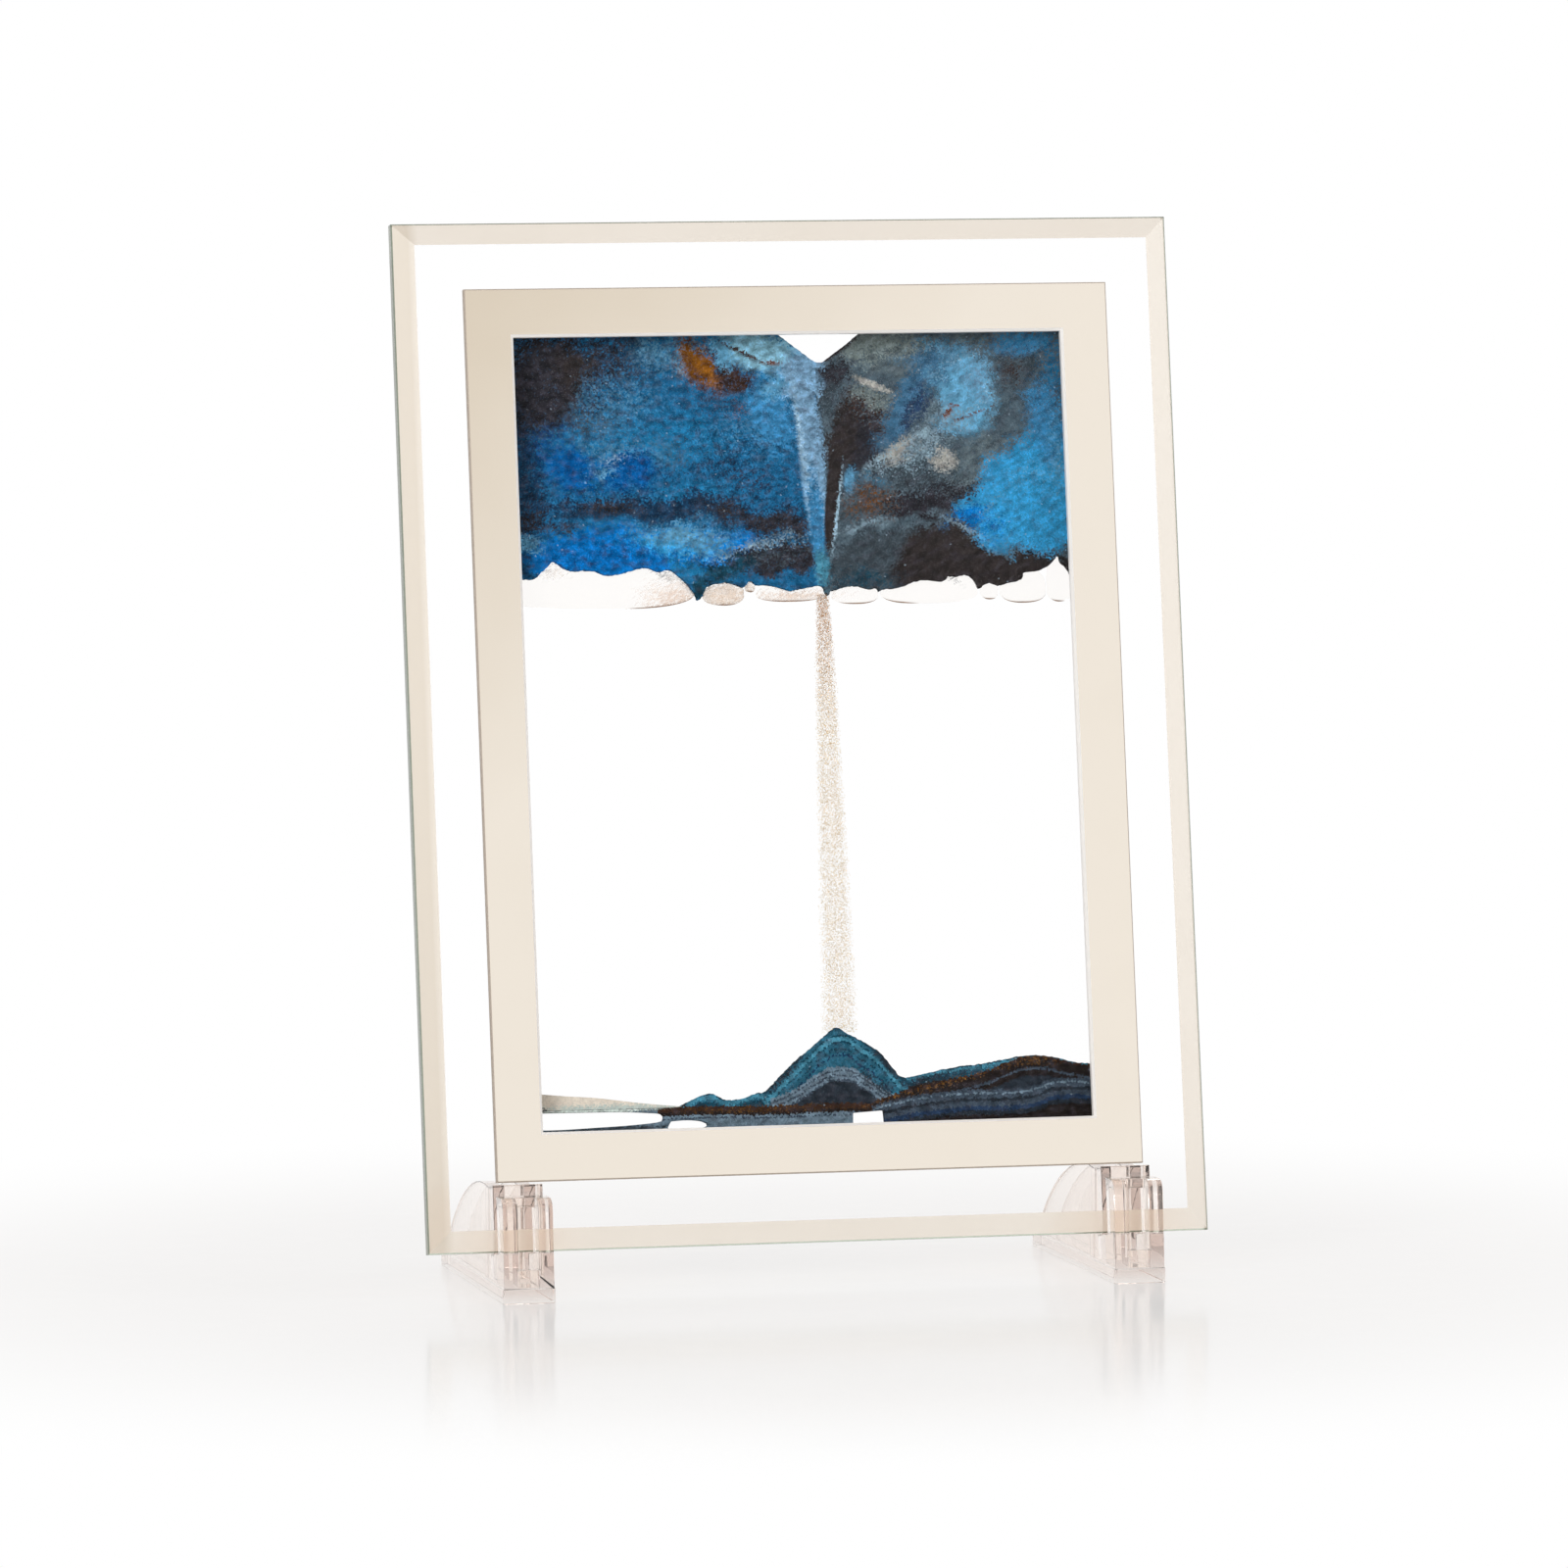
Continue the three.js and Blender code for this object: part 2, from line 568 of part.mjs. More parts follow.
add(picture, "upper_slate_sand", cut(rightOfFunnel(), underHill(BOND), ...bubbleRoom), slateSand);
add(picture, "upper_black_sand", cut(hillSand(), ...bubbleRoom), blackSand);
add(picture, "falling_sand", stream(0), fallingSand);
for (const [name, { geometry, finish }] of Object.entries(lowerSand)) add(picture, name, geometry, finish);
BUBBLES.forEach((bubble, i) => add(picture, `air_bubble_${i + 1}`, bubblePocket(bubble), trappedAir));
add(picture, "liquid", liquidBody(), clearLiquid);
add(picture, "notch_liquid", notchLiquid(), clearLiquid);

const footPlaces = {
  left_foot: FOOT_INSETS.left_foot - PANE_W / 2,
  right_foot: PANE_W / 2 - FOOT_INSETS.right_foot,
};
for (const [name, x] of Object.entries(footPlaces)) add(group, name, foot(), clearPlastic).position.x = x;

export default group;
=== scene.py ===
"""Dresses a moving sand picture: coloured sand, liquid and air sealed behind a bevelled glass pane.

Sizes are in millimetres in the classes, and turn to metres where a mesh is made. What belongs to the
glass unit is drawn in the pane's own leaning frame: x across, y back from the pane's front, z up the pane.
"""

import logging
import math
import random
from abc import ABC, abstractmethod
from dataclasses import dataclass
from enum import Enum
from typing import Any, Mapping, Optional, Sequence

import bmesh
import bpy
from mathutils import Matrix, Vector
from mathutils.geometry import tessellate_polygon

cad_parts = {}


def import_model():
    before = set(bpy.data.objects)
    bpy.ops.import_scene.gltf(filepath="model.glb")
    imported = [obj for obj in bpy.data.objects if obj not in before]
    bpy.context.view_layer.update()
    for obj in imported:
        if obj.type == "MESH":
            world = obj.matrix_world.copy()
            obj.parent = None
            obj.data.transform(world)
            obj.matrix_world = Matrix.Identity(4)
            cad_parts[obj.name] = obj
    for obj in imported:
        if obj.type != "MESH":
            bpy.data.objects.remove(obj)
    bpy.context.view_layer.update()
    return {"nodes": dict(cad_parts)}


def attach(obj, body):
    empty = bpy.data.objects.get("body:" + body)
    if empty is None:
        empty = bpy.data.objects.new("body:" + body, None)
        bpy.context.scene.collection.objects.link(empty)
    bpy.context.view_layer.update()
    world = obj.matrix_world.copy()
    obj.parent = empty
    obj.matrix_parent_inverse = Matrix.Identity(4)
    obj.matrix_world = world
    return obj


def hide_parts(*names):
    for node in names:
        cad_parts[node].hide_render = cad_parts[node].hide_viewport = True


LOG = logging.getLogger("sand_picture")
MM = 0.001
Point = tuple[float, float]
Face = tuple[int, ...]

# The pane's frame and the cell behind it, as the solids have them
LEAN_DEG = 8.7
PANE_FOOT = (0.0, -32.0, 10.85)
PANE_W = 180.0
PANE_H = 232.5
MARGIN = 15.5
BORDER_W = 11.0
FILL_HALF = 65.6
CELL_FLOOR = 24.4
CELL_ROOF = 208.1
SAND_FRONT = 5.7
SAND_BACK = 8.9
UNIT = "glass_unit"

# Points of a mesh that lie closer together than this are one point
SAME_POINT = 0.002


def linear(hex_code: str) -> tuple[float, float, float, float]:
    """Turns an sRGB hex value into linear light.

    Args:
        hex_code: six hex digits, red first.

    Returns:
        Red, green and blue in linear light, with an alpha of 1.
    """
    parts = [int(hex_code[i:i + 2], 16) / 255 for i in (0, 2, 4)]
    red, green, blue = [p / 12.92 if p <= 0.04045 else ((p + 0.055) / 1.055) ** 2.4 for p in parts]
    return red, green, blue, 1.0


def add_node(
    tree: bpy.types.NodeTree,
    kind: str,
    settings: Optional[Mapping[Any, Any]] = None,
    links: Optional[Mapping[Any, bpy.types.NodeSocket]] = None,
) -> bpy.types.Node:
    """Adds one node with its settings and links.

    Args:
        tree: the node tree that takes the node.
        kind: Blender's name for the type of node.
        settings: properties by attribute name, and values by the name or number of an input.
        links: sockets to join, by the name or number of the input that each one feeds.

    Returns:
        The new node.
    """
    node = tree.nodes.new(kind)
    for key, value in (settings or {}).items():
        if isinstance(key, str) and hasattr(node, key):
            setattr(node, key, value)
        else:
            node.inputs[key].default_value = value
    for key, source in (links or {}).items():
        tree.links.new(source, node.inputs[key])
    return node


def let_lamps_through(
    tree: bpy.types.NodeTree, surface: bpy.types.NodeSocket, tint: str
) -> bpy.types.NodeSocket:
    """Lets lamp light and soft light through a clear surface unbent, so that what is behind it is lit.

    Args:
        tree: the material's node tree.
        surface: the clear shader that the eye meets.
        tint: colour that one crossing leaves of the light, as hex.

    Returns:
        The shader that does both.
    """
    path = add_node(tree, "ShaderNodeLightPath")
    lamps = add_node(
        tree, "ShaderNodeMath",
        {"operation": "MAXIMUM"},
        {0: path.outputs["Is Shadow Ray"], 1: path.outputs["Is Diffuse Ray"]},
    )
    clear = add_node(tree, "ShaderNodeBsdfTransparent", {"Color": linear(tint)})
    mix = add_node(
        tree, "ShaderNodeMixShader", None, {0: lamps.outputs[0], 1: surface, 2: clear.outputs[0]}
    )
    return mix.outputs[0]


def pane_frame() -> Matrix:
    """Returns the pane's leaning frame, in metres."""
    return Matrix.Translation(Vector(PANE_FOOT) * MM) @ Matrix.Rotation(-math.radians(LEAN_DEG), 4, "X")


def smooth_line(points: Sequence[Point], step: float) -> list[Point]:
    """Runs a smooth line through points, evenly enough for a mesh.

    Args:
        points: the points that the line passes, in mm.
        step: the longest stretch between two points of the line, in mm.

    Returns:
        Points along a Catmull-Rom spline.
    """
    line: list[Point] = []
    last = len(points) - 1
    for i in range(last):
        p0, p1, p2, p3 = (Vector(points[max(0, min(last, i + k))]) for k in (-1, 0, 1, 2))
        count = max(1, math.ceil((p2 - p1).length / step))
        for n in range(count):
            t = n / count
            spot = (
                p1 * 2
                + (p2 - p0) * t
                + (p0 * 2 - p1 * 5 + p2 * 4 - p3) * t**2
                + (p1 * 3 - p0 - p2 * 3 + p3) * t**3
            ) / 2
            line.append((spot.x, spot.y))
    line.append(tuple(points[last]))
    return line


def height_on(line: Sequence[Point], x: float) -> float:
    """Reads a line's height at one place.

    Args:
        line: points in order of growing x, in mm.
        x: the place, in mm.

    Returns:
        The height, level beyond both ends.
    """
    for (x0, z0), (x1, z1) in zip(line, line[1:]):
        if x0 <= x <= x1 and x1 > x0:
            return z0 + (z1 - z0) * (x - x0) / (x1 - x0)
    return line[0][1] if x < line[0][0] else line[-1][1]


def roughen(line: Sequence[Point], depth: float, seed: int) -> list[Point]:
    """Frays a line as loose grains do.

    Args:
        line: points in mm.
        depth: the furthest that a point moves, in mm.
        seed: start of the random draws.

    Returns:
        The line with each inner point moved a little.
    """
    draw = random.Random(seed)
    moved = [(x + draw.uniform(-depth, depth), z + draw.uniform(-depth, depth)) for x, z in line[1:-1]]
    return [tuple(line[0]), *moved, tuple(line[-1])]


class Finish(ABC):
    """What every finish shares: a name, and a material that is made once."""

    name: str

    @abstractmethod
    def shader(self, tree: bpy.types.NodeTree) -> bpy.types.NodeSocket:
        """Adds the finish's nodes.

        Args:
            tree: the material's node tree.

        Returns:
            Its shader.
        """

    def volume(self, tree: bpy.types.NodeTree) -> Optional[bpy.types.NodeSocket]:
        """Adds nodes for the inside of a clear body.

        Args:
            tree: the material's node tree.

        Returns:
            Their shader, or None for a body that has no cast.
        """
        return None

    def material(self) -> bpy.types.Material:
        """Makes the finish's material the first time that it is asked for.

        Returns:
            The material.
        """
        material = bpy.data.materials.get(self.name)
        if material is not None:
            return material
        material = bpy.data.materials.new(self.name)
        material.use_nodes = True
        tree = material.node_tree
        tree.nodes.clear()
        output = add_node(tree, "ShaderNodeOutputMaterial", None, {"Surface": self.shader(tree)})
        inside = self.volume(tree)
        if inside is not None:
            tree.links.new(inside, output.inputs["Volume"])
        return material


@dataclass(frozen=True)
class ClearBody(Finish):
    """Smooth clear body: all that shows on it is a slow, shallow ripple.

    Ripple and depth are in mm. Sheen is the share of mirrored light that is kept: the studio is white
    all round, and a full sheen would veil the dark sand behind the sheets.
    """

    name: str = "clear_body"
    colour: str = "ffffff"
    ior: float = 1.5
    sheen: float = 1.0
    clearness: float = 1.0
    ripple: float = 42.0
    ripple_depth: float = 0.02
    ripple_strength: float = 0.3
    ripple_detail: float = 1.0
    ripple_twist: float = 0.0

    def shader(self, tree: bpy.types.NodeTree) -> bpy.types.NodeSocket:
        """Adds the clear body.

        Args:
            tree: the material's node tree.

        Returns:
            Its shader.
        """
        place = add_node(tree, "ShaderNodeTexCoord")
        waves = add_node(
            tree, "ShaderNodeTexNoise",
            {
                "Scale": 1 / (self.ripple * MM),
                "Detail": self.ripple_detail,
                "Distortion": self.ripple_twist,
            },
            {"Vector": place.outputs["Object"]},
        )
        bump = add_node(
            tree, "ShaderNodeBump",
            {"Strength": self.ripple_strength, "Distance": self.ripple_depth * MM},
            {"Height": waves.outputs["Fac"]},
        )
        body = add_node(
            tree, "ShaderNodeBsdfPrincipled",
            {
                "Base Color": linear(self.colour),
                "Roughness": 0.0,
                "IOR": self.ior,
                "Specular Tint": (self.sheen, self.sheen, self.sheen, 1.0),
                "Transmission Weight": self.clearness,
            },
            {"Normal": bump.outputs[0]},
        )
        return let_lamps_through(tree, body.outputs[0], self.colour)


@dataclass(frozen=True)
class FloatGlass(ClearBody):
    """Polished float glass: all but invisible, with the faint long ripple of drawn sheet."""

    name: str = "float_glass"
    sheen: float = 0.02


@dataclass(frozen=True)
class CarrierLiquid(ClearBody):
    """Clear carrier liquid in the cell: seen only by the faint way it bends light."""

    name: str = "clear_carrier_liquid"
    ior: float = 1.33
    sheen: float = 0.0
    ripple: float = 24.0
    ripple_strength: float = 0.2


@dataclass(frozen=True)
class ClearAcrylic(ClearBody):
    """Injection-moulded clear acrylic: colourless, with fine dark and white lines along its edges."""

    name: str = "moulded_clear_acrylic"
    colour: str = "fffaf6"
    ior: float = 1.49
    clearness: float = 0.98
    ripple: float = 11.0
    ripple_depth: float = 0.1
    ripple_strength: float = 0.2
    ripple_detail: float = 2.0
    ripple_twist: float = 0.6
    inside: str = "f3eae6"
    inside_depth: float = 30.0

    def volume(self, tree: bpy.types.NodeTree) -> bpy.types.NodeSocket:
        """Adds the cast that thick plastic gives to light.

        Args:
            tree: the material's node tree.

        Returns:
            Its shader.
        """
        cast = add_node(
            tree, "ShaderNodeVolumeAbsorption",
            {"Color": linear(self.inside), "Density": 1 / (self.inside_depth * MM)},
        )
        return cast.outputs[0]


@dataclass(frozen=True)
class MarkedStock(Finish):
    """Worked surface: one run of fine marks sets its tone, its gloss and its relief.

    Mark is the size of the marks in mm, gloss is the lowest and highest roughness, and relief is the
    strength and the depth in mm of the marks.
    """

    name: str = "marked_stock"
    colour: str = "ffffff"
    shade: str = "ffffff"
    mark: float = 2.0
    detail: float = 2.0
    gloss: Point = (0.5, 0.5)
    relief: Point = (0.0, 0.0)
    clearness: float = 0.0

    def shader(self, tree: bpy.types.NodeTree) -> bpy.types.NodeSocket:
        """Adds the marks and what they change.

        Args:
            tree: the material's node tree.

        Returns:
            The surface's shader.
        """
        place = add_node(tree, "ShaderNodeTexCoord")
        marks = add_node(
            tree, "ShaderNodeTexNoise",
            {"Scale": 1 / (self.mark * MM), "Detail": self.detail},
            {"Vector": place.outputs["Object"]},
        )
        strongest = marks.outputs["Fac"]
        even: dict[str, Any] = {"Transmission Weight": self.clearness}
        varied: dict[str, bpy.types.NodeSocket] = {}
        if self.shade == self.colour:
            even["Base Color"] = linear(self.colour)
        else:
            tone = add_node(
                tree, "ShaderNodeMix",
                {"data_type": "RGBA", 6: linear(self.shade), 7: linear(self.colour)},
                {0: strongest},
            )
            varied["Base Color"] = tone.outputs[2]
        smoothest, roughest = self.gloss
        if smoothest == roughest:
            even["Roughness"] = roughest
        else:
            rough = add_node(
                tree, "ShaderNodeMapRange",
                {"To Min": smoothest, "To Max": roughest},
                {"Value": strongest},
            )
            varied["Roughness"] = rough.outputs[0]
        strength, depth = self.relief
        if strength > 0:
            bump = add_node(
                tree, "ShaderNodeBump",
                {"Strength": strength, "Distance": depth * MM},
                {"Height": strongest},
            )
            varied["Normal"] = bump.outputs[0]
        return add_node(tree, "ShaderNodeBsdfPrincipled", even, varied).outputs[0]


@dataclass(frozen=True)
class CutGlassEdge(MarkedStock):
    """Cut and smoothed edge of float glass: a thin grey-green line, because light runs along the sheet."""

    name: str = "cut_glass_edge"
    colour: str = "8f9a87"
    shade: str = "6d7867"
    mark: float = 2.2
    gloss: Point = (0.1, 0.3)
    clearness: float = 0.3

    def shader(self, tree: bpy.types.NodeTree) -> bpy.types.NodeSocket:
        """Adds the wheel-marked glass and lets lamp light through it.

        Args:
            tree: the material's node tree.

        Returns:
            Its shader.
        """
        return let_lamps_through(tree, super().shader(tree), self.colour)


@dataclass(frozen=True)
class PolishedArris(MarkedStock):
    """Inner edge of the mirrored strip, smoothed: satin glass painted white as a thin painted highlight."""

    name: str = "smoothed_glass_arris"
    # Painted highlight: the arris is painted white
    colour: str = "fffdf9"
    shade: str = "fffdf9"
    mark: float = 0.7
    gloss: Point = (0.25, 0.4)


@dataclass(frozen=True)
class SawnEdge(MarkedStock):
    """Sawn side of the mirrored strip: bare matt grey-brown stock with saw marks."""

    name: str = "sawn_strip_edge"
    colour: str = "cbbfb2"
    shade: str = "b0a395"
    mark: float = 1.1
    detail: float = 3.0
    gloss: Point = (0.55, 0.55)
    relief: Point = (0.3, 0.05)


@dataclass(frozen=True)
class CuredSilicone(MarkedStock):
    """Cured silicone: a satin rubbery grey with a tooled, slightly uneven skin."""

    name: str = "cured_silicone"
    colour: str = "a8a297"
    shade: str = "8d877d"
    mark: float = 3.0
    detail: float = 3.0
    gloss: Point = (0.35, 0.6)
    relief: Point = (0.35, 0.2)


@dataclass(frozen=True)
class SiltAndShadeLine(MarkedStock):
    """Brown thread under an air pocket, darker in places: partly caught silt, partly painted shade of its
    rim.
    """

    name: str = "silt_and_painted_rim_shade"
    colour: str = "8f6d55"
    shade: str = "c9ac94"
    mark: float = 1.8
    detail: float = 3.0
    gloss: Point = (0.8, 0.8)
    clearness: float = 0.25


@dataclass(frozen=True)
class GroundBevel(Finish):
    """Ground and half polished bevel of the pane: a milky cream band that still lets light through.

    Its cream is painted reflection of warm surroundings, and its band on the key light's side is painted
    deeper as painted shade. Cloud and grind are the sizes of its clouds and grinding marks in mm.
    """

    name: str = "bevel_painted_cream_reflection"
    # Painted reflection: colour and shade stand in for warm surroundings seen in the bevel
    colour: str = "f3ebdf"
    shade: str = "ebe1d2"
    painted_shade_lit_side: str = "d9ccb9"
    lit_from: float = -84.0
    lit_to: float = -86.5
    cloud: float = 30.0
    grind: float = 0.9
    gloss: Point = (0.2, 0.28)
    relief: Point = (0.02, 0.02)
    clearness: float = 0.4

    def shader(self, tree: bpy.types.NodeTree) -> bpy.types.NodeSocket:
        """Adds a cloudy satin glass.

        Args:
            tree: the material's node tree.

        Returns:
            Its shader.
        """
        place = add_node(tree, "ShaderNodeTexCoord")
        clouds, marks = (
            add_node(
                tree, "ShaderNodeTexNoise",
                {"Scale": 1 / (size * MM), "Detail": 2.0},
                {"Vector": place.outputs["Object"]},
            )
            for size in (self.cloud, self.grind)
        )
        colour = add_node(
            tree, "ShaderNodeMix",
            {"data_type": "RGBA", 6: linear(self.shade), 7: linear(self.colour)},
            {0: clouds.outputs["Fac"]},
        )
        # Painted shade: the band on the side of the key light is painted deeper,
        # so that it looks no paler than the others
        across = add_node(tree, "ShaderNodeSeparateXYZ", None, {0: place.outputs["Object"]})
        turned = add_node(
            tree, "ShaderNodeMapRange",
            {"From Min": self.lit_from * MM, "From Max": self.lit_to * MM},
            {"Value": across.outputs["X"]},
        )
        painted_shade_evened = add_node(
            tree, "ShaderNodeMix",
            {"data_type": "RGBA", 7: linear(self.painted_shade_lit_side)},
            {0: turned.outputs[0], 6: colour.outputs[2]},
        )
        smoothest, roughest = self.gloss
        rough = add_node(
            tree, "ShaderNodeMapRange",
            {"To Min": smoothest, "To Max": roughest},
            {"Value": marks.outputs["Fac"]},
        )
        strength, depth = self.relief
        bump = add_node(
            tree, "ShaderNodeBump",
            {"Strength": strength, "Distance": depth * MM},
            {"Height": marks.outputs["Fac"]},
        )
        glass = add_node(
            tree, "ShaderNodeBsdfPrincipled",
            {"IOR": 1.5, "Specular IOR Level": 0.2, "Transmission Weight": self.clearness},
            {"Base Color": painted_shade_evened.outputs[2], "Roughness": rough.outputs[0], "Normal": bump.outputs[0]},
        )
        return let_lamps_through(tree, glass.outputs[0], self.colour)


@dataclass(frozen=True)
class ChampagneMirror(Finish):
    """Silvered strip with a champagne tint: a warm pale sheet, painted a touch deeper towards its upper
    left.

    That deepening is painted reflection, run along x less z: its middle and half its run are in mm, as are
    its clouds and its haze.
    """

    name: str = "silvered_champagne_strip"
    deep: str = "dccfbc"
    light: str = "f0e7da"
    middle: float = -228.0
    painted_reflection_half_run: float = 60.0
    cloud: float = 26.0
    cloudiness: float = 0.3
    haze: float = 1.6
    gloss: Point = (0.16, 0.3)

    def shader(self, tree: bpy.types.NodeTree) -> bpy.types.NodeSocket:
        """Adds an unevenly tinted satin mirror.

        Args:
            tree: the material's node tree.

        Returns:
            Its shader.
        """
        place = add_node(tree, "ShaderNodeTexCoord")
        split = add_node(tree, "ShaderNodeSeparateXYZ", None, {0: place.outputs["Object"]})
        across = add_node(
            tree, "ShaderNodeMath",
            {"operation": "SUBTRACT"},
            {0: split.outputs["X"], 1: split.outputs["Z"]},
        )
        clouds, film = (
            add_node(
                tree, "ShaderNodeTexNoise",
                {"Scale": 1 / (size * MM), "Detail": detail},
                {"Vector": place.outputs["Object"]},
            )
            for size, detail in ((self.cloud, 2.0), (self.haze, 3.0))
        )
        # Painted reflection: deeper towards the upper left, paler towards the lower right
        tint = add_node(
            tree, "ShaderNodeMapRange",
            {
                "From Min": (self.middle - self.painted_reflection_half_run) * MM,
                "From Max": (self.middle + self.painted_reflection_half_run) * MM,
            },
            {"Value": across.outputs[0]},
        )
        uneven = add_node(
            tree, "ShaderNodeMath",
            {"operation": "MULTIPLY_ADD", 1: self.cloudiness, 2: -self.cloudiness / 2},
            {0: clouds.outputs["Fac"]},
        )
        total = add_node(
            tree, "ShaderNodeMath",
            {"operation": "ADD", "use_clamp": True},
            {0: tint.outputs[0], 1: uneven.outputs[0]},
        )
        colour = add_node(
            tree, "ShaderNodeMix",
            {"data_type": "RGBA", 6: linear(self.deep), 7: linear(self.light)},
            {0: total.outputs[0]},
        )
        smoothest, roughest = self.gloss
        rough = add_node(
            tree, "ShaderNodeMapRange",
            {"To Min": smoothest, "To Max": roughest},
            {"Value": film.outputs["Fac"]},
        )
        mirror = add_node(
            tree, "ShaderNodeBsdfPrincipled",
            {"Metallic": 1.0},
            {"Base Color": colour.outputs[2], "Roughness": rough.outputs[0]},
        )
        return mirror.outputs[0]


class Grain(Enum):
    """Dyed grains in the cell, as sRGB hex values."""

    NAVY = "1d3a56"
    CHARCOAL = "2f2f35"
    BLACK = "332f2f"
    UMBER = "3d2c24"
    GRAPHITE = "404b53"
    SLATE = "4d5e69"
    STONE = "5c6b72"
    STEEL = "1f6390"
    OCEAN = "2074a4"
    DEEP = "07579b"
    BRIGHT = "0a70bd"
    AZURE = "3599d0"
    CORNFLOWER = "3c86b8"
    COBALT = "416c8c"
    MIDNIGHT = "2b3f5c"
    SKY = "61a0c4"
    PERIWINKLE = "769fbf"
    POWDER = "9fc0d4"
    HAZE = "5389ab"
    MIST = "86a1b0"
    ASH = "a8a9a4"
    GREY_GREEN = "768484"
    TEAL = "1b4355"
    SEA = "2f657d"
    LAGOON = "4789a2"
    FOG = "6d8393"
    GOLD = "85541a"
    BRONZE = "6b4318"
    RUST = "6b3c22"
    SANDSTONE = "857a64"
    BEIGE = "ece3d4"
    BLUSH = "f8f0e9"
    PEACH = "f3dfd0"
    TAN = "efdfd0"
    CLAY = "2a2524"
    SHALE = "43505e"
    BASALT = "2b333c"
    AIR = "82b8d0"
    GLITTER = "a8752e"
    LICHEN = "c6d4ce"


class Rim(Enum):
    """How the rim of a patch of grains runs."""

    DRIFTED = "drifted"
    DRAWN = "drawn"


@dataclass(frozen=True)
class Patch:
    """One turned oval of like grains on the face of the sand, in mm in the pane's frame.

    Wide and tall are its half axes, and turn is in degrees. It thins out over a share of its size, its
    fade, and takes the share of the grains inside it that is its cover.
    """

    x: float
    z: float
    wide: float
    tall: float
    turn: float
    grain: Grain
    fade: float = 0.5
    cover: float = 0.9
    rim: Rim = Rim.DRIFTED


@dataclass(frozen=True)
class Layers:
    """Thin beds that follow one line from the top down to a depth, in mm in the pane's frame.

    Each bed is given by how far under the line it starts, and by its grains.
    """

    line: tuple[Point, ...]
    beds: tuple[tuple[float, Grain], ...]
    depth: float


@dataclass(frozen=True)
class GrainField:
    """Scatters coloured grains: each grain takes one colour, and patches thin out grain by grain."""

    ground: Grain
    patches: tuple[Patch, ...]
    layers: tuple[Layers, ...] = ()
    # True grains are 0.2 to 0.3 mm across, which is under a pixel, so they are drawn coarser
    grain: float = 0.34
    scatter: float = 1.2
    swirl: float = 5.0
    swirl_size: float = 12.0

    def cells(self, tree: bpy.types.NodeTree) -> bpy.types.Node:
        """Adds the packing of grains on the cell's face.

        Args:
            tree: the material's node tree.

        Returns:
            Its node, which works in mm.
        """
        place = add_node(tree, "ShaderNodeTexCoord")
        split = add_node(tree, "ShaderNodeSeparateXYZ", None, {0: place.outputs["Object"]})
        face = add_node(
            tree, "ShaderNodeCombineXYZ", None, {0: split.outputs["X"], 1: split.outputs["Z"]}
        )
        in_mm = add_node(
            tree, "ShaderNodeVectorMath", {"operation": "SCALE", "Scale": 1 / MM}, {0: face.outputs[0]}
        )
        return add_node(
            tree, "ShaderNodeTexVoronoi",
            {"voronoi_dimensions": "2D", "Scale": 1 / self.grain},
            {"Vector": in_mm.outputs[0]},
        )

    def places(self, tree: bpy.types.NodeTree, cells: bpy.types.Node) -> dict[Rim, bpy.types.NodeSocket]:
        """Works out where each grain looks up its colour.

        Args:
            tree: the material's node tree.
            cells: the packing of grains.

        Returns:
            A place for each kind of rim, in mm.
        """
        centred = add_node(
            tree, "ShaderNodeVectorMath",
            {"operation": "SUBTRACT", 1: (0.5, 0.5, 0.5)},
            {0: cells.outputs["Color"]},
        )
        loose = add_node(
            tree, "ShaderNodeVectorMath",
            {"operation": "MULTIPLY_ADD", 1: (self.scatter, self.scatter, 0.0)},
            {0: centred.outputs[0], 2: cells.outputs["Position"]},
        )
        close = add_node(
            tree, "ShaderNodeVectorMath",
            {"operation": "MULTIPLY_ADD", 1: (self.scatter / 3, self.scatter / 3, 0.0)},
            {0: centred.outputs[0], 2: cells.outputs["Position"]},
        )
        currents = add_node(
            tree, "ShaderNodeTexNoise",
            {
                "noise_dimensions": "2D",
                "Scale": 1 / self.swirl_size,
                "Detail": 4.0,
                "Roughness": 0.62,
                "Distortion": 0.8,
            },
            {"Vector": loose.outputs[0]},
        )
        bend = add_node(
            tree, "ShaderNodeVectorMath",
            {"operation": "SUBTRACT", 1: (0.5, 0.5, 0.5)},
            {0: currents.outputs["Color"]},
        )
        drifted = add_node(
            tree, "ShaderNodeVectorMath",
            {"operation": "MULTIPLY_ADD", 1: (2 * self.swirl, 2 * self.swirl, 0.0)},
            {0: bend.outputs[0], 2: loose.outputs[0]},
        )
        return {Rim.DRIFTED: drifted.outputs[0], Rim.DRAWN: close.outputs[0]}

    def taken(
        self,
        tree: bpy.types.NodeTree,
        patch: Patch,
        place: bpy.types.NodeSocket,
        lot: bpy.types.NodeSocket,
    ) -> bpy.types.NodeSocket:
        """Says which grains belong to a patch.

        Args:
            tree: the material's node tree.
            patch: the patch.
            place: where each grain looks up its colour.
            lot: a number from 0 to 1 drawn by each grain.

        Returns:
            How much of the patch's colour each grain takes, from 0 to 1.
        """
        inside = add_node(
            tree, "ShaderNodeMapping",
            {
                "vector_type": "TEXTURE",
                "Location": (patch.x, patch.z, 0.0),
                "Rotation": (0.0, 0.0, math.radians(patch.turn)),
                "Scale": (patch.wide, patch.tall, 1.0),
            },
            {"Vector": place},
        )
        far = add_node(tree, "ShaderNodeVectorMath", {"operation": "LENGTH"}, {0: inside.outputs[0]})
        thin = add_node(
            tree, "ShaderNodeMapRange",
            {"From Min": 1 + patch.fade, "From Max": 1 - patch.fade, "To Max": 2 * patch.cover},
            {"Value": far.outputs["Value"]},
        )
        mine = add_node(
            tree, "ShaderNodeMath",
            {"operation": "SUBTRACT", "use_clamp": True},
            {0: thin.outputs[0], 1: lot},
        )
        return mine.outputs[0]

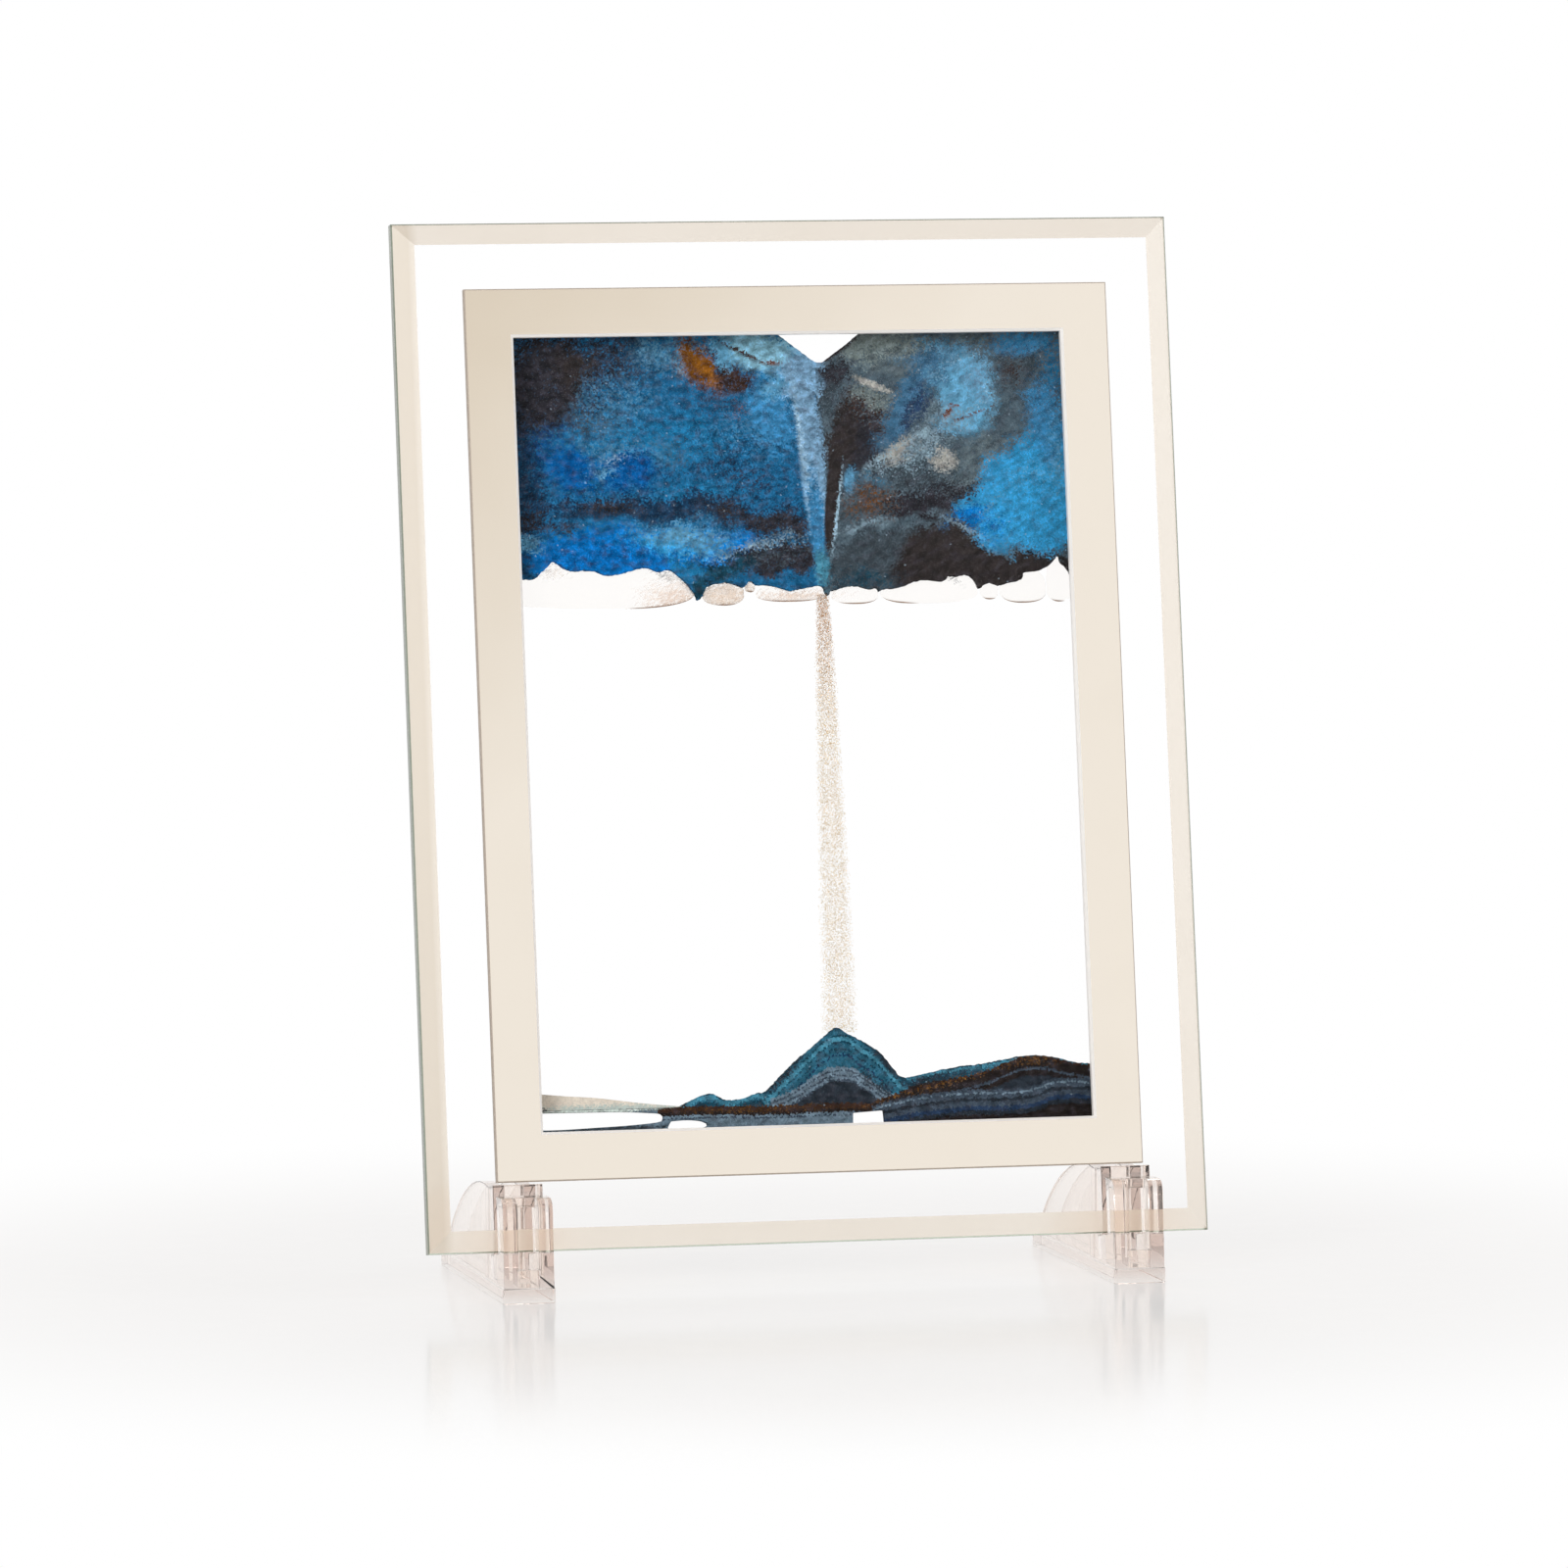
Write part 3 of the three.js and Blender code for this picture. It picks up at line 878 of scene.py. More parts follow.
    def layered(
        self,
        tree: bpy.types.NodeTree,
        layers: Layers,
        place: bpy.types.NodeSocket,
    ) -> tuple[bpy.types.NodeSocket, bpy.types.NodeSocket]:
        """Says which grains lie in a stack of beds, and of what colour they are.

        Args:
            tree: the material's node tree.
            layers: the stack of beds.
            place: where each grain looks up its colour.

        Returns:
            1 for a grain of the stack, otherwise 0, and the grain's colour.
        """
        low = min(z for _, z in layers.line)
        high = max(z for _, z in layers.line)
        split = add_node(tree, "ShaderNodeSeparateXYZ", None, {0: place})
        run = add_node(
            tree, "ShaderNodeMapRange",
            {"From Min": -FILL_HALF, "From Max": FILL_HALF},
            {"Value": split.outputs["X"]},
        )
        line = add_node(tree, "ShaderNodeFloatCurve", None, {"Value": run.outputs[0]})
        curve = line.mapping.curves[0]
        spots = [((x + FILL_HALF) / (2 * FILL_HALF), (z - low) / (high - low)) for x, z in layers.line]
        curve.points[0].location = spots[0]
        curve.points[1].location = spots[-1]
        for x, z in spots[1:-1]:
            curve.points.new(x, z)
        line.mapping.update()
        top = add_node(
            tree, "ShaderNodeMapRange", {"To Min": low, "To Max": high}, {"Value": line.outputs[0]}
        )
        under = add_node(
            tree, "ShaderNodeMath", {"operation": "SUBTRACT"}, {0: top.outputs[0], 1: split.outputs["Y"]}
        )
        share = add_node(
            tree, "ShaderNodeMapRange", {"From Max": layers.depth}, {"Value": under.outputs[0]}
        )
        ramp = add_node(tree, "ShaderNodeValToRGB", None, {0: share.outputs[0]})
        stops = ramp.color_ramp
        stops.interpolation = "CONSTANT"
        for number, (depth, grain) in enumerate(layers.beds):
            spot = depth / layers.depth
            stop = stops.elements[0] if number == 0 else stops.elements.new(spot)
            stop.position = spot
            stop.color = linear(grain.value)
        stops.elements.remove(stops.elements[-1])
        below = add_node(
            tree, "ShaderNodeMath", {"operation": "GREATER_THAN", 1: 0.0}, {0: under.outputs[0]}
        )
        left, right = layers.line[0][0], layers.line[-1][0]
        beside = add_node(
            tree, "ShaderNodeMath",
            {"operation": "COMPARE", 1: (left + right) / 2, 2: (right - left) / 2},
            {0: split.outputs["X"]},
        )
        inside = add_node(
            tree, "ShaderNodeMath", {"operation": "LESS_THAN", 1: layers.depth}, {0: under.outputs[0]}
        )
        here = add_node(
            tree, "ShaderNodeMath",
            {"operation": "MULTIPLY"},
            {0: below.outputs[0], 1: beside.outputs[0]},
        )
        mine = add_node(
            tree, "ShaderNodeMath", {"operation": "MULTIPLY"}, {0: here.outputs[0], 1: inside.outputs[0]}
        )
        return mine.outputs[0], ramp.outputs["Color"]

    def colour(self, tree: bpy.types.NodeTree, cells: bpy.types.Node) -> bpy.types.NodeSocket:
        """Lays the patches over the ground in order.

        Args:
            tree: the material's node tree.
            cells: the packing of grains.

        Returns:
            The colour of each grain.
        """
        places = self.places(tree, cells)
        lots = add_node(tree, "ShaderNodeSeparateColor", None, {0: cells.outputs["Color"]})
        laid: Optional[bpy.types.NodeSocket] = None
        for number, layer in enumerate((*self.layers, *self.patches)):
            if isinstance(layer, Layers):
                mine, tint = self.layered(tree, layer, places[Rim.DRAWN])
                mix = add_node(
                    tree, "ShaderNodeMix",
                    {"data_type": "RGBA", 6: linear(self.ground.value)},
                    {0: mine, 7: tint},
                )
            else:
                mine = self.taken(tree, layer, places[layer.rim], lots.outputs[number % 3])
                mix = add_node(
                    tree, "ShaderNodeMix",
                    {"data_type": "RGBA", 6: linear(self.ground.value), 7: linear(layer.grain.value)},
                    {0: mine},
                )
            if laid is not None:
                tree.links.new(laid, mix.inputs[6])
            laid = mix.outputs[2]
        return laid


@dataclass(frozen=True)
class WetSand(Finish):
    """Wet dyed quartz sand against glass: matt grains of many tones, and a few grains painted pale as
    painted glints.

    Clump is the size of its clumps in mm, drawn out streak times along a line turned by streak_turn
    degrees. Mottle is how much the clumps differ in tone, and grain_tone how much single grains do.
    """

    name: str
    field: GrainField
    painted_glints: float = 0.0015
    clump: float = 1.5
    mottle: float = 0.55
    streak: float = 1.5
    streak_turn: float = 0.0
    grain_tone: float = 0.22
    stray: str = "4a4853"
    stray_from: float = 0.5
    stray_to: float = 0.75
    packed_from: float = 0.3
    packed_to: float = 0.7
    painted_glint_colour: str = "b9d2e6"
    painted_glint_strength: float = 0.3
    gloss: Point = (0.55, 0.95)
    relief: Point = (0.3, 0.12)

    def shader(self, tree: bpy.types.NodeTree) -> bpy.types.NodeSocket:
        """Adds the grains.

        Args:
            tree: the material's node tree.

        Returns:
            Their shader.
        """
        cells = self.field.cells(tree)
        colour = self.field.colour(tree, cells)
        lots = add_node(tree, "ShaderNodeSeparateColor", None, {0: cells.outputs["Color"]})
        along = add_node(
            tree, "ShaderNodeMapping",
            {
                "vector_type": "TEXTURE",
                "Rotation": (0.0, 0.0, math.radians(self.streak_turn)),
                "Scale": (self.streak, 1.0, 1.0),
            },
            {"Vector": cells.outputs["Position"]},
        )
        clumps = add_node(
            tree, "ShaderNodeTexNoise",
            {"noise_dimensions": "2D", "Scale": 1 / self.clump, "Detail": 3.0, "Roughness": 0.5},
            {"Vector": along.outputs[0]},
        )
        other = add_node(tree, "ShaderNodeSeparateColor", None, {0: clumps.outputs["Color"]})
        strays = add_node(
            tree, "ShaderNodeMapRange",
            {"From Min": self.stray_from, "From Max": self.stray_to, "To Max": self.mottle},
            {"Value": other.outputs[1]},
        )
        mixed = add_node(
            tree, "ShaderNodeMix",
            {"data_type": "RGBA", 7: linear(self.stray)},
            {0: strays.outputs[0], 6: colour},
        )
        packed = add_node(
            tree, "ShaderNodeMapRange",
            {
                "From Min": self.packed_from,
                "From Max": self.packed_to,
                "To Min": 1 - self.mottle,
                "To Max": 1 + self.mottle,
            },
            {"Value": clumps.outputs["Fac"]},
        )
        tone = add_node(
            tree, "ShaderNodeMapRange",
            {"To Min": 1 - self.grain_tone, "To Max": 1 + self.grain_tone},
            {"Value": lots.outputs[1]},
        )
        shade = add_node(
            tree, "ShaderNodeMath", {"operation": "MULTIPLY"}, {0: packed.outputs[0], 1: tone.outputs[0]}
        )
        toned = add_node(
            tree, "ShaderNodeMix",
            {"data_type": "RGBA", "blend_type": "MULTIPLY", 0: 1.0},
            {6: mixed.outputs[2], 7: shade.outputs[0]},
        )
        # Painted highlight: a few grains are painted pale as glints
        bright = add_node(
            tree, "ShaderNodeMath", {"operation": "LESS_THAN", 1: self.painted_glints}, {0: lots.outputs[0]}
        )
        share = add_node(
            tree, "ShaderNodeMath",
            {"operation": "MULTIPLY", 1: self.painted_glint_strength},
            {0: bright.outputs[0]},
        )
        with_painted_glints = add_node(
            tree, "ShaderNodeMix",
            {"data_type": "RGBA", 7: linear(self.painted_glint_colour)},
            {0: share.outputs[0], 6: toned.outputs[2]},
        )
        smoothest, roughest = self.gloss
        rough = add_node(
            tree, "ShaderNodeMapRange",
            {"To Min": smoothest, "To Max": roughest},
            {"Value": lots.outputs[2]},
        )
        strength, depth = self.relief
        bump = add_node(
            tree, "ShaderNodeBump",
            {"Strength": strength, "Distance": depth * MM, "invert": True},
            {"Height": cells.outputs["Distance"]},
        )
        sand = add_node(
            tree, "ShaderNodeBsdfPrincipled",
            {"Specular IOR Level": 0.02},
            {"Base Color": with_painted_glints.outputs[2], "Roughness": rough.outputs[0], "Normal": bump.outputs[0]},
        )
        return sand.outputs[0]


@dataclass(frozen=True)
class AirFilm(Finish):
    """Skin of air trapped in liquid: clear and white, dusted with stray grains, with peach painted shade in
    places.
    """

    name: str
    field: GrainField
    colour: str = "fffdfb"
    ior: float = 1.015
    bare: float = 0.97
    covered: float = 0.35

    def shader(self, tree: bpy.types.NodeTree) -> bpy.types.NodeSocket:
        """Adds a clear film with grains stuck to it.

        Args:
            tree: the material's node tree.

        Returns:
            Its shader.
        """
        cells = self.field.cells(tree)
        places = self.field.places(tree, cells)
        lots = add_node(tree, "ShaderNodeSeparateColor", None, {0: cells.outputs["Color"]})
        tint: Optional[bpy.types.NodeSocket] = None
        dust_and_shade: Optional[bpy.types.NodeSocket] = None
        for number, patch in enumerate(self.field.patches):
            mine = self.field.taken(tree, patch, places[patch.rim], lots.outputs[number % 3])
            mix = add_node(
                tree, "ShaderNodeMix",
                {"data_type": "RGBA", 6: linear(self.colour), 7: linear(patch.grain.value)},
                {0: mine},
            )
            most = add_node(tree, "ShaderNodeMath", {"operation": "MAXIMUM", 1: 0.0}, {0: mine})
            if tint is not None:
                tree.links.new(tint, mix.inputs[6])
                tree.links.new(dust_and_shade, most.inputs[1])
            tint, dust_and_shade = mix.outputs[2], most.outputs[0]
        clear = add_node(
            tree, "ShaderNodeMapRange", {"To Min": self.bare, "To Max": self.covered}, {"Value": dust_and_shade}
        )
        film = add_node(
            tree, "ShaderNodeBsdfPrincipled",
            {"Roughness": 0.05, "IOR": self.ior, "Specular IOR Level": 0.1},
            {"Base Color": tint, "Transmission Weight": clear.outputs[0]},
        )
        return let_lamps_through(tree, film.outputs[0], self.colour)


@dataclass(frozen=True)
class LooseGrains(Finish):
    """Grains falling through liquid: pale beige quartz, each of its own tone, browner at the throat."""

    name: str = "falling_quartz_grains"
    pale: str = "fff4d6"
    tan: str = "f6dcab"
    brown: str = "e2b483"
    brown_from: float = 112.0
    brown_to: float = 150.0
    brown_share: float = 0.8
    gloss: Point = (0.5, 0.9)
    clearness: float = 0.3

    def shader(self, tree: bpy.types.NodeTree) -> bpy.types.NodeSocket:
        """Adds a tone for each grain.

        Args:
            tree: the material's node tree.

        Returns:
            The grains' shader.
        """
        each = add_node(tree, "ShaderNodeNewGeometry")
        place = add_node(tree, "ShaderNodeTexCoord")
        split = add_node(tree, "ShaderNodeSeparateXYZ", None, {0: place.outputs["Object"]})
        colour = add_node(
            tree, "ShaderNodeMix",
            {"data_type": "RGBA", 6: linear(self.pale), 7: linear(self.tan)},
            {0: each.outputs["Random Per Island"]},
        )
        high = add_node(
            tree, "ShaderNodeMapRange",
            {
                "interpolation_type": "SMOOTHSTEP",
                "From Min": self.brown_from * MM,
                "From Max": self.brown_to * MM,
                "To Max": self.brown_share,
            },
            {"Value": split.outputs["Z"]},
        )
        toned = add_node(
            tree, "ShaderNodeMix",
            {"data_type": "RGBA", 7: linear(self.brown)},
            {0: high.outputs[0], 6: colour.outputs[2]},
        )
        smoothest, roughest = self.gloss
        rough = add_node(
            tree, "ShaderNodeMapRange",
            {"To Min": smoothest, "To Max": roughest},
            {"Value": each.outputs["Random Per Island"]},
        )
        quartz = add_node(
            tree, "ShaderNodeBsdfPrincipled",
            {"Specular IOR Level": 0.1, "Transmission Weight": self.clearness},
            {"Base Color": toned.outputs[2], "Roughness": rough.outputs[0]},
        )
        return quartz.outputs[0]


@dataclass(frozen=True)
class StudioFloor(Finish):
    """Lacquered white table top: pale, with a soft mirror image of what stands on it.

    Where it is bright from and to are distances from the object's middle in mm, as is the size of
    its orange peel.
    """

    name: str = "white_lacquer_table"
    colour: str = "fbfaf8"
    bright_middle: float = 0.45
    bright_from: float = 120.0
    bright_to: float = 330.0
    orange_peel: float = 9.0
    gloss: Point = (0.1, 0.16)

    def shader(self, tree: bpy.types.NodeTree) -> bpy.types.NodeSocket:
        """Adds a lacquer that fades to plain white away from the object.

        Args:
            tree: the material's node tree.

        Returns:
            Its shader.
        """
        place = add_node(tree, "ShaderNodeTexCoord")
        peel = add_node(
            tree, "ShaderNodeTexNoise",
            {"Scale": 1 / (self.orange_peel * MM), "Detail": 1.0},
            {"Vector": place.outputs["Object"]},
        )
        smoothest, roughest = self.gloss
        rough = add_node(
            tree, "ShaderNodeMapRange",
            {"To Min": smoothest, "To Max": roughest},
            {"Value": peel.outputs["Fac"]},
        )
        lacquer = add_node(
            tree, "ShaderNodeBsdfPrincipled",
            {"Base Color": linear(self.colour), "Specular IOR Level": 0.3},
            {"Roughness": rough.outputs[0]},
        )
        white = add_node(tree, "ShaderNodeEmission", {"Color": (1.0, 1.0, 1.0, 1.0), "Strength": 1.0})
        far = add_node(
            tree, "ShaderNodeVectorMath", {"operation": "LENGTH"}, {0: place.outputs["Object"]}
        )
        lift = add_node(
            tree, "ShaderNodeMapRange",
            {
                "interpolation_type": "SMOOTHSTEP",
                "From Min": self.bright_from * MM,
                "From Max": self.bright_to * MM,
                "To Min": self.bright_middle,
                "To Max": 1.0,
            },
            {"Value": far.outputs["Value"]},
        )
        seen = add_node(
            tree, "ShaderNodeMath", {"operation": "MULTIPLY"}, {0: lift.outputs[0], 1: seen_ray(tree)}
        )
        mix = add_node(
            tree, "ShaderNodeMixShader",
            None,
            {0: seen.outputs[0], 1: lacquer.outputs[0], 2: white.outputs[0]},
        )
        return mix.outputs[0]


def seen_ray(tree: bpy.types.NodeTree) -> bpy.types.NodeSocket:
    """Adds a test for the rays that show the background, straight, mirrored or through glass.

    Args:
        tree: the node tree that takes the test.

    Returns:
        1 for such a ray, and 0 for light that falls on the object.
    """
    path = add_node(tree, "ShaderNodeLightPath")
    straight = add_node(
        tree, "ShaderNodeMath",
        {"operation": "MAXIMUM"},
        {0: path.outputs["Is Camera Ray"], 1: path.outputs["Is Glossy Ray"]},
    )
    seen = add_node(
        tree, "ShaderNodeMath",
        {"operation": "MAXIMUM"},
        {0: straight.outputs[0], 1: path.outputs["Is Transmission Ray"]},
    )
    return seen.outputs[0]


def make_piece(
    name: str,
    points: Sequence[Vector],
    faces: Sequence[Face],
    finishes: Sequence[Finish],
    slots: Optional[Sequence[int]] = None,
    smooth: bool = False,
) -> bpy.types.Object:
    """Makes one piece of the glass unit from points in the pane's frame.

    Args:
        name: the piece's name.
        points: corners, in mm.
        faces: corners of each face, by number.
        finishes: the piece's finishes.
        slots: which finish each face takes, if there are several.
        smooth: True for a rounded body.

    Returns:
        The piece, standing in the pane's frame and riding on the glass unit.
    """
    mesh = bpy.data.meshes.new(name)
    mesh.from_pydata([p * MM for p in points], [], faces)
    for finish in finishes:
        mesh.materials.append(finish.material())
    if slots is not None:
        mesh.polygons.foreach_set("material_index", slots)
    work = bmesh.new()
    work.from_mesh(mesh)
    bmesh.ops.remove_doubles(work, verts=work.verts, dist=SAME_POINT * MM)
    bmesh.ops.dissolve_degenerate(work, edges=work.edges, dist=SAME_POINT * MM)
    bmesh.ops.recalc_face_normals(work, faces=work.faces)
    for face in work.faces:
        face.smooth = smooth
    work.to_mesh(mesh)
    work.free()
    piece = bpy.data.objects.new(name, mesh)
    bpy.context.scene.collection.objects.link(piece)
    piece.matrix_world = pane_frame()
    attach(piece, UNIT)
    LOG.info("%s: %d faces", name, len(mesh.polygons))
    return piece


def slab(outlines: Sequence[Sequence[Point]], front: float, back: float) -> tuple[list[Vector], list[Face]]:
    """Makes a plate from an outline and its holes.

    Args:
        outlines: the outline and then the holes, in mm in the pane's frame.
        front: depth of the plate's front, in mm behind the pane's front.
        back: depth of its back.

    Returns:
        The plate's points and faces.
    """
    rings = [[Vector((x, 0.0, z)) for x, z in outline] for outline in outlines]
    flat = [p for ring in rings for p in ring]
    count = len(flat)
    triangles = tessellate_polygon(rings)
    points = [Vector((p.x, depth, p.z)) for depth in (front, back) for p in flat]
    faces: list[Face] = [tuple(t) for t in triangles]
    faces += [tuple(i + count for i in reversed(t)) for t in triangles]
    start = 0
    for ring in rings:
        for n in range(len(ring)):
            a, b = start + n, start + (n + 1) % len(ring)
            faces.append((a, b, b + count, a + count))
        start += len(ring)
    return points, faces


def swept_rectangle(
    half: float, low: float, high: float, section: Sequence[Point], closed: bool
) -> tuple[list[Vector], list[Face], list[int]]:
    """Runs a section round a rectangle, with mitred corners.

    Args:
        half: half the rectangle's width, in mm.
        low: its lower side.
        high: its upper side.
        section: inset from the rectangle and depth of each point of the section, in mm.
        closed: True for an open-centred frame, False to close the first and last points with a face.

    Returns:
        The points, the faces, and the number of the section's stretch that each face belongs to.
    """
    points: list[Vector] = []
    for inset, depth in section:
        side, bottom, top = half - inset, low + inset, high - inset
        points += [Vector((x, depth, z)) for x, z in
                   ((-side, bottom), (side, bottom), (side, top), (-side, top))]
    faces: list[Face] = []
    bands: list[int] = []
    count = len(section)
    for band in range(count if closed else count - 1):
        a, b = 4 * band, 4 * ((band + 1) % count)
        for n in range(4):
            m = (n + 1) % 4
            faces.append((a + n, a + m, b + m, b + n))
            bands.append(band)
    if not closed:
        end = 4 * (count - 1)
        faces += [(3, 2, 1, 0), (end, end + 1, end + 2, end + 3)]
        bands += [-1, count - 1]
    return points, faces, bands


@dataclass
class BevelledPane:
    """The front glass: one thick sheet with a ground bevel round its front."""

    thickness: float = 5.0
    bevel_w: float = 5.0
    bevel_depth: float = 1.6
    arris: float = 0.3

    def build(self) -> bpy.types.Object:
        """Makes the pane with its faces, bevel and edges.

        Returns:
            The pane.
        """
        section = (
            (self.bevel_w, 0.0),
            (self.arris, self.bevel_depth * (1 - self.arris / self.bevel_w)),
            (0.0, self.bevel_depth + self.arris),
            (0.0, self.thickness - self.arris),
            (self.arris, self.thickness),
        )
        points, faces, bands = swept_rectangle(PANE_W / 2, 0.0, PANE_H, section, closed=False)
        clear, bevel, edge = 0, 1, 2
        by_band = {-1: clear, 0: bevel, 1: edge, 2: edge, 3: edge, 4: clear}
        slots = [by_band[b] for b in bands]
        finishes = (FloatGlass(), GroundBevel(), CutGlassEdge())
        pane = make_piece("bevelled_pane", points, faces, finishes, slots)
        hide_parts("front_glass")
        return pane


@dataclass
class MirrorBorder:
    """The mirrored strip round the picture, mitred at its corners."""

    front: float = -2.3
    back: float = -0.3
    outer_arris: float = 0.25
    inner_bevel: float = 0.6

    def build(self) -> bpy.types.Object:
        """Makes the border with its smoothed inner edge.

        Returns:
            The border.
        """
        section = (
            (self.outer_arris, self.front),
            (BORDER_W - self.inner_bevel, self.front),
            (BORDER_W, self.front + self.inner_bevel),
            (BORDER_W, self.back),
            (0.0, self.back),
            (0.0, self.front + self.outer_arris),
        )
        half = PANE_W / 2 - MARGIN
        points, faces, bands = swept_rectangle(half, MARGIN, PANE_H - MARGIN, section, closed=True)
        mirror, polished, sawn = 0, 1, 2
        by_band = (mirror, polished, polished, sawn, sawn, sawn)
        slots = [by_band[b] for b in bands]
        border = make_piece(
            "mirror_border", points, faces, (ChampagneMirror(), PolishedArris(), SawnEdge()), slots
        )
        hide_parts("front_border")
        return border


@dataclass(frozen=True)
class Pocket:
    """One pocket of air under the hanging sand, in mm in the pane's frame.

    It lies between left and right, rises above its waist and drops below it, and a brown thread, partly
    silt and partly painted shade of its rim, runs under it from the first to the second x of silt.
    """

    left: float
    right: float
    waist: float
    rise: float
    drop: float
    silt: Point


# Lower edge of the hanging sand, from the left wall to the right wall
SAND_UNDERSIDE: tuple[Point, ...] = (
    (-65.6, 152.4), (-60.0, 151.8), (-57.4, 153.7), (-55.0, 155.6), (-52.8, 154.2), (-50.5, 153.5),
    (-46.0, 153.5), (-43.0, 152.4), (-39.0, 152.8), (-34.0, 154.0), (-31.0, 153.0), (-28.4, 153.4),
    (-26.4, 152.0), (-24.0, 149.6), (-22.6, 147.4), (-21.9, 146.4), (-21.0, 147.2), (-19.6, 149.4),
    (-15.5, 150.3), (-12.6, 149.5), (-11.4, 149.1), (-9.8, 150.5), (-8.4, 149.6), (-5.0, 149.4),
    (-2.2, 148.6), (-0.5, 148.1), (2.5, 148.6), (6.6, 149.2), (7.5, 148.0), (8.2, 146.9),
    (8.9, 147.9), (11.0, 148.3), (13.2, 148.9), (15.6, 148.8), (18.0, 148.1), (19.4, 148.5),
    (20.2, 147.6), (21.2, 148.1), (25.0, 148.4), (28.2, 149.6), (31.0, 150.1), (35.2, 149.7),
    (36.4, 150.8), (38.4, 150.7), (40.4, 151.1), (42.2, 150.2), (43.5, 147.9), (44.6, 148.7),
    (46.2, 149.1), (48.2, 148.5), (50.2, 149.0), (53.3, 149.7), (54.2, 151.4), (57.6, 151.8),
    (60.0, 152.9), (62.2, 155.0), (63.2, 153.4), (65.6, 150.0),
)

# Top of the hanging sand, with the dip where it has sunk
SAND_TOP: tuple[Point, ...] = (
    (65.6, 208.1), (19.4, 208.1), (17.0, 206.1), (15.0, 204.5), (11.6, 202.1), (9.4, 200.5), (8.2, 200.1),
    (6.6, 200.6), (3.4, 203.0), (0.4, 205.4), (-1.4, 206.8), (-3.2, 208.1), (-65.6, 208.1),
)

# Crest of the fallen sand, from the left wall to the right wall
DUNE_CREST: tuple[Point, ...] = (
    (-65.6, 31.4), (-57.0, 31.4), (-50.0, 31.4), (-40.0, 31.4), (-32.0, 31.5), (-28.6, 32.7),
    (-24.0, 34.3), (-20.2, 32.8), (-16.4, 33.1), (-12.6, 34.2), (-10.6, 34.7), (-5.0, 40.0),
    (0.0, 44.0), (3.4, 46.6), (5.9, 48.4), (8.6, 46.9), (15.0, 43.2), (18.6, 39.0),
    (20.8, 36.8), (25.0, 37.3), (32.0, 38.6), (40.0, 39.4), (47.0, 40.6), (52.0, 40.9),
    (57.0, 40.3), (60.2, 39.2), (65.6, 38.7),
)

# Wedge of pale silt on the fallen sand, against the left wall
SILT_TOP: tuple[Point, ...] = (
    (-65.6, 35.6), (-57.0, 34.7), (-50.0, 34.1), (-40.0, 32.7), (-32.0, 31.8), (-30.4, 31.7),
)
SILT_FLOOR = 31.5

# Clear gaps on the floor of the cell that the fallen sand bridges
FLOOR_GAPS: tuple[tuple[Point, ...], ...] = (
    ((-64.8, 31.1), (-46.0, 30.9), (-38.0, 30.5), (-35.0, 30.1), (-34.6, 29.0), (-36.4, 28.2),
     (-48.0, 27.5), (-64.8, 27.4)),
    ((-33.0, 28.4), (-29.0, 28.6), (-25.6, 28.2), (-24.4, 27.2), (-28.0, 26.4), (-33.6, 26.4)),
    ((9.0, 29.0), (9.2, 29.1), (16.1, 29.5), (16.3, 29.4), (16.5, 26.6), (16.4, 26.4), (9.0, 26.4),
     (8.9, 26.6)),
)

POCKETS: tuple[Pocket, ...] = (
    Pocket(-65.4, -22.7, 148.2, 9.0, 3.6, (-39.0, -23.0)),
    Pocket(-20.9, -11.2, 147.6, 3.2, 2.5, (-18.5, -13.0)),
    Pocket(-11.0, -8.7, 149.1, 1.4, 1.1, (-10.6, -9.0)),
    Pocket(-8.4, 7.3, 147.3, 2.4, 1.6, (-8.0, 6.8)),
    Pocket(9.0, 19.9, 147.0, 2.4, 2.1, (10.5, 19.7)),
    Pocket(20.5, 43.2, 147.1, 4.8, 2.4, (20.8, 29.0)),
    Pocket(43.8, 48.0, 147.3, 1.9, 1.9, (44.2, 47.2)),
    Pocket(48.3, 59.2, 147.4, 5.2, 2.9, (48.6, 59.0)),
    Pocket(59.4, 65.4, 147.6, 8.0, 3.0, (60.2, 63.4)),
)

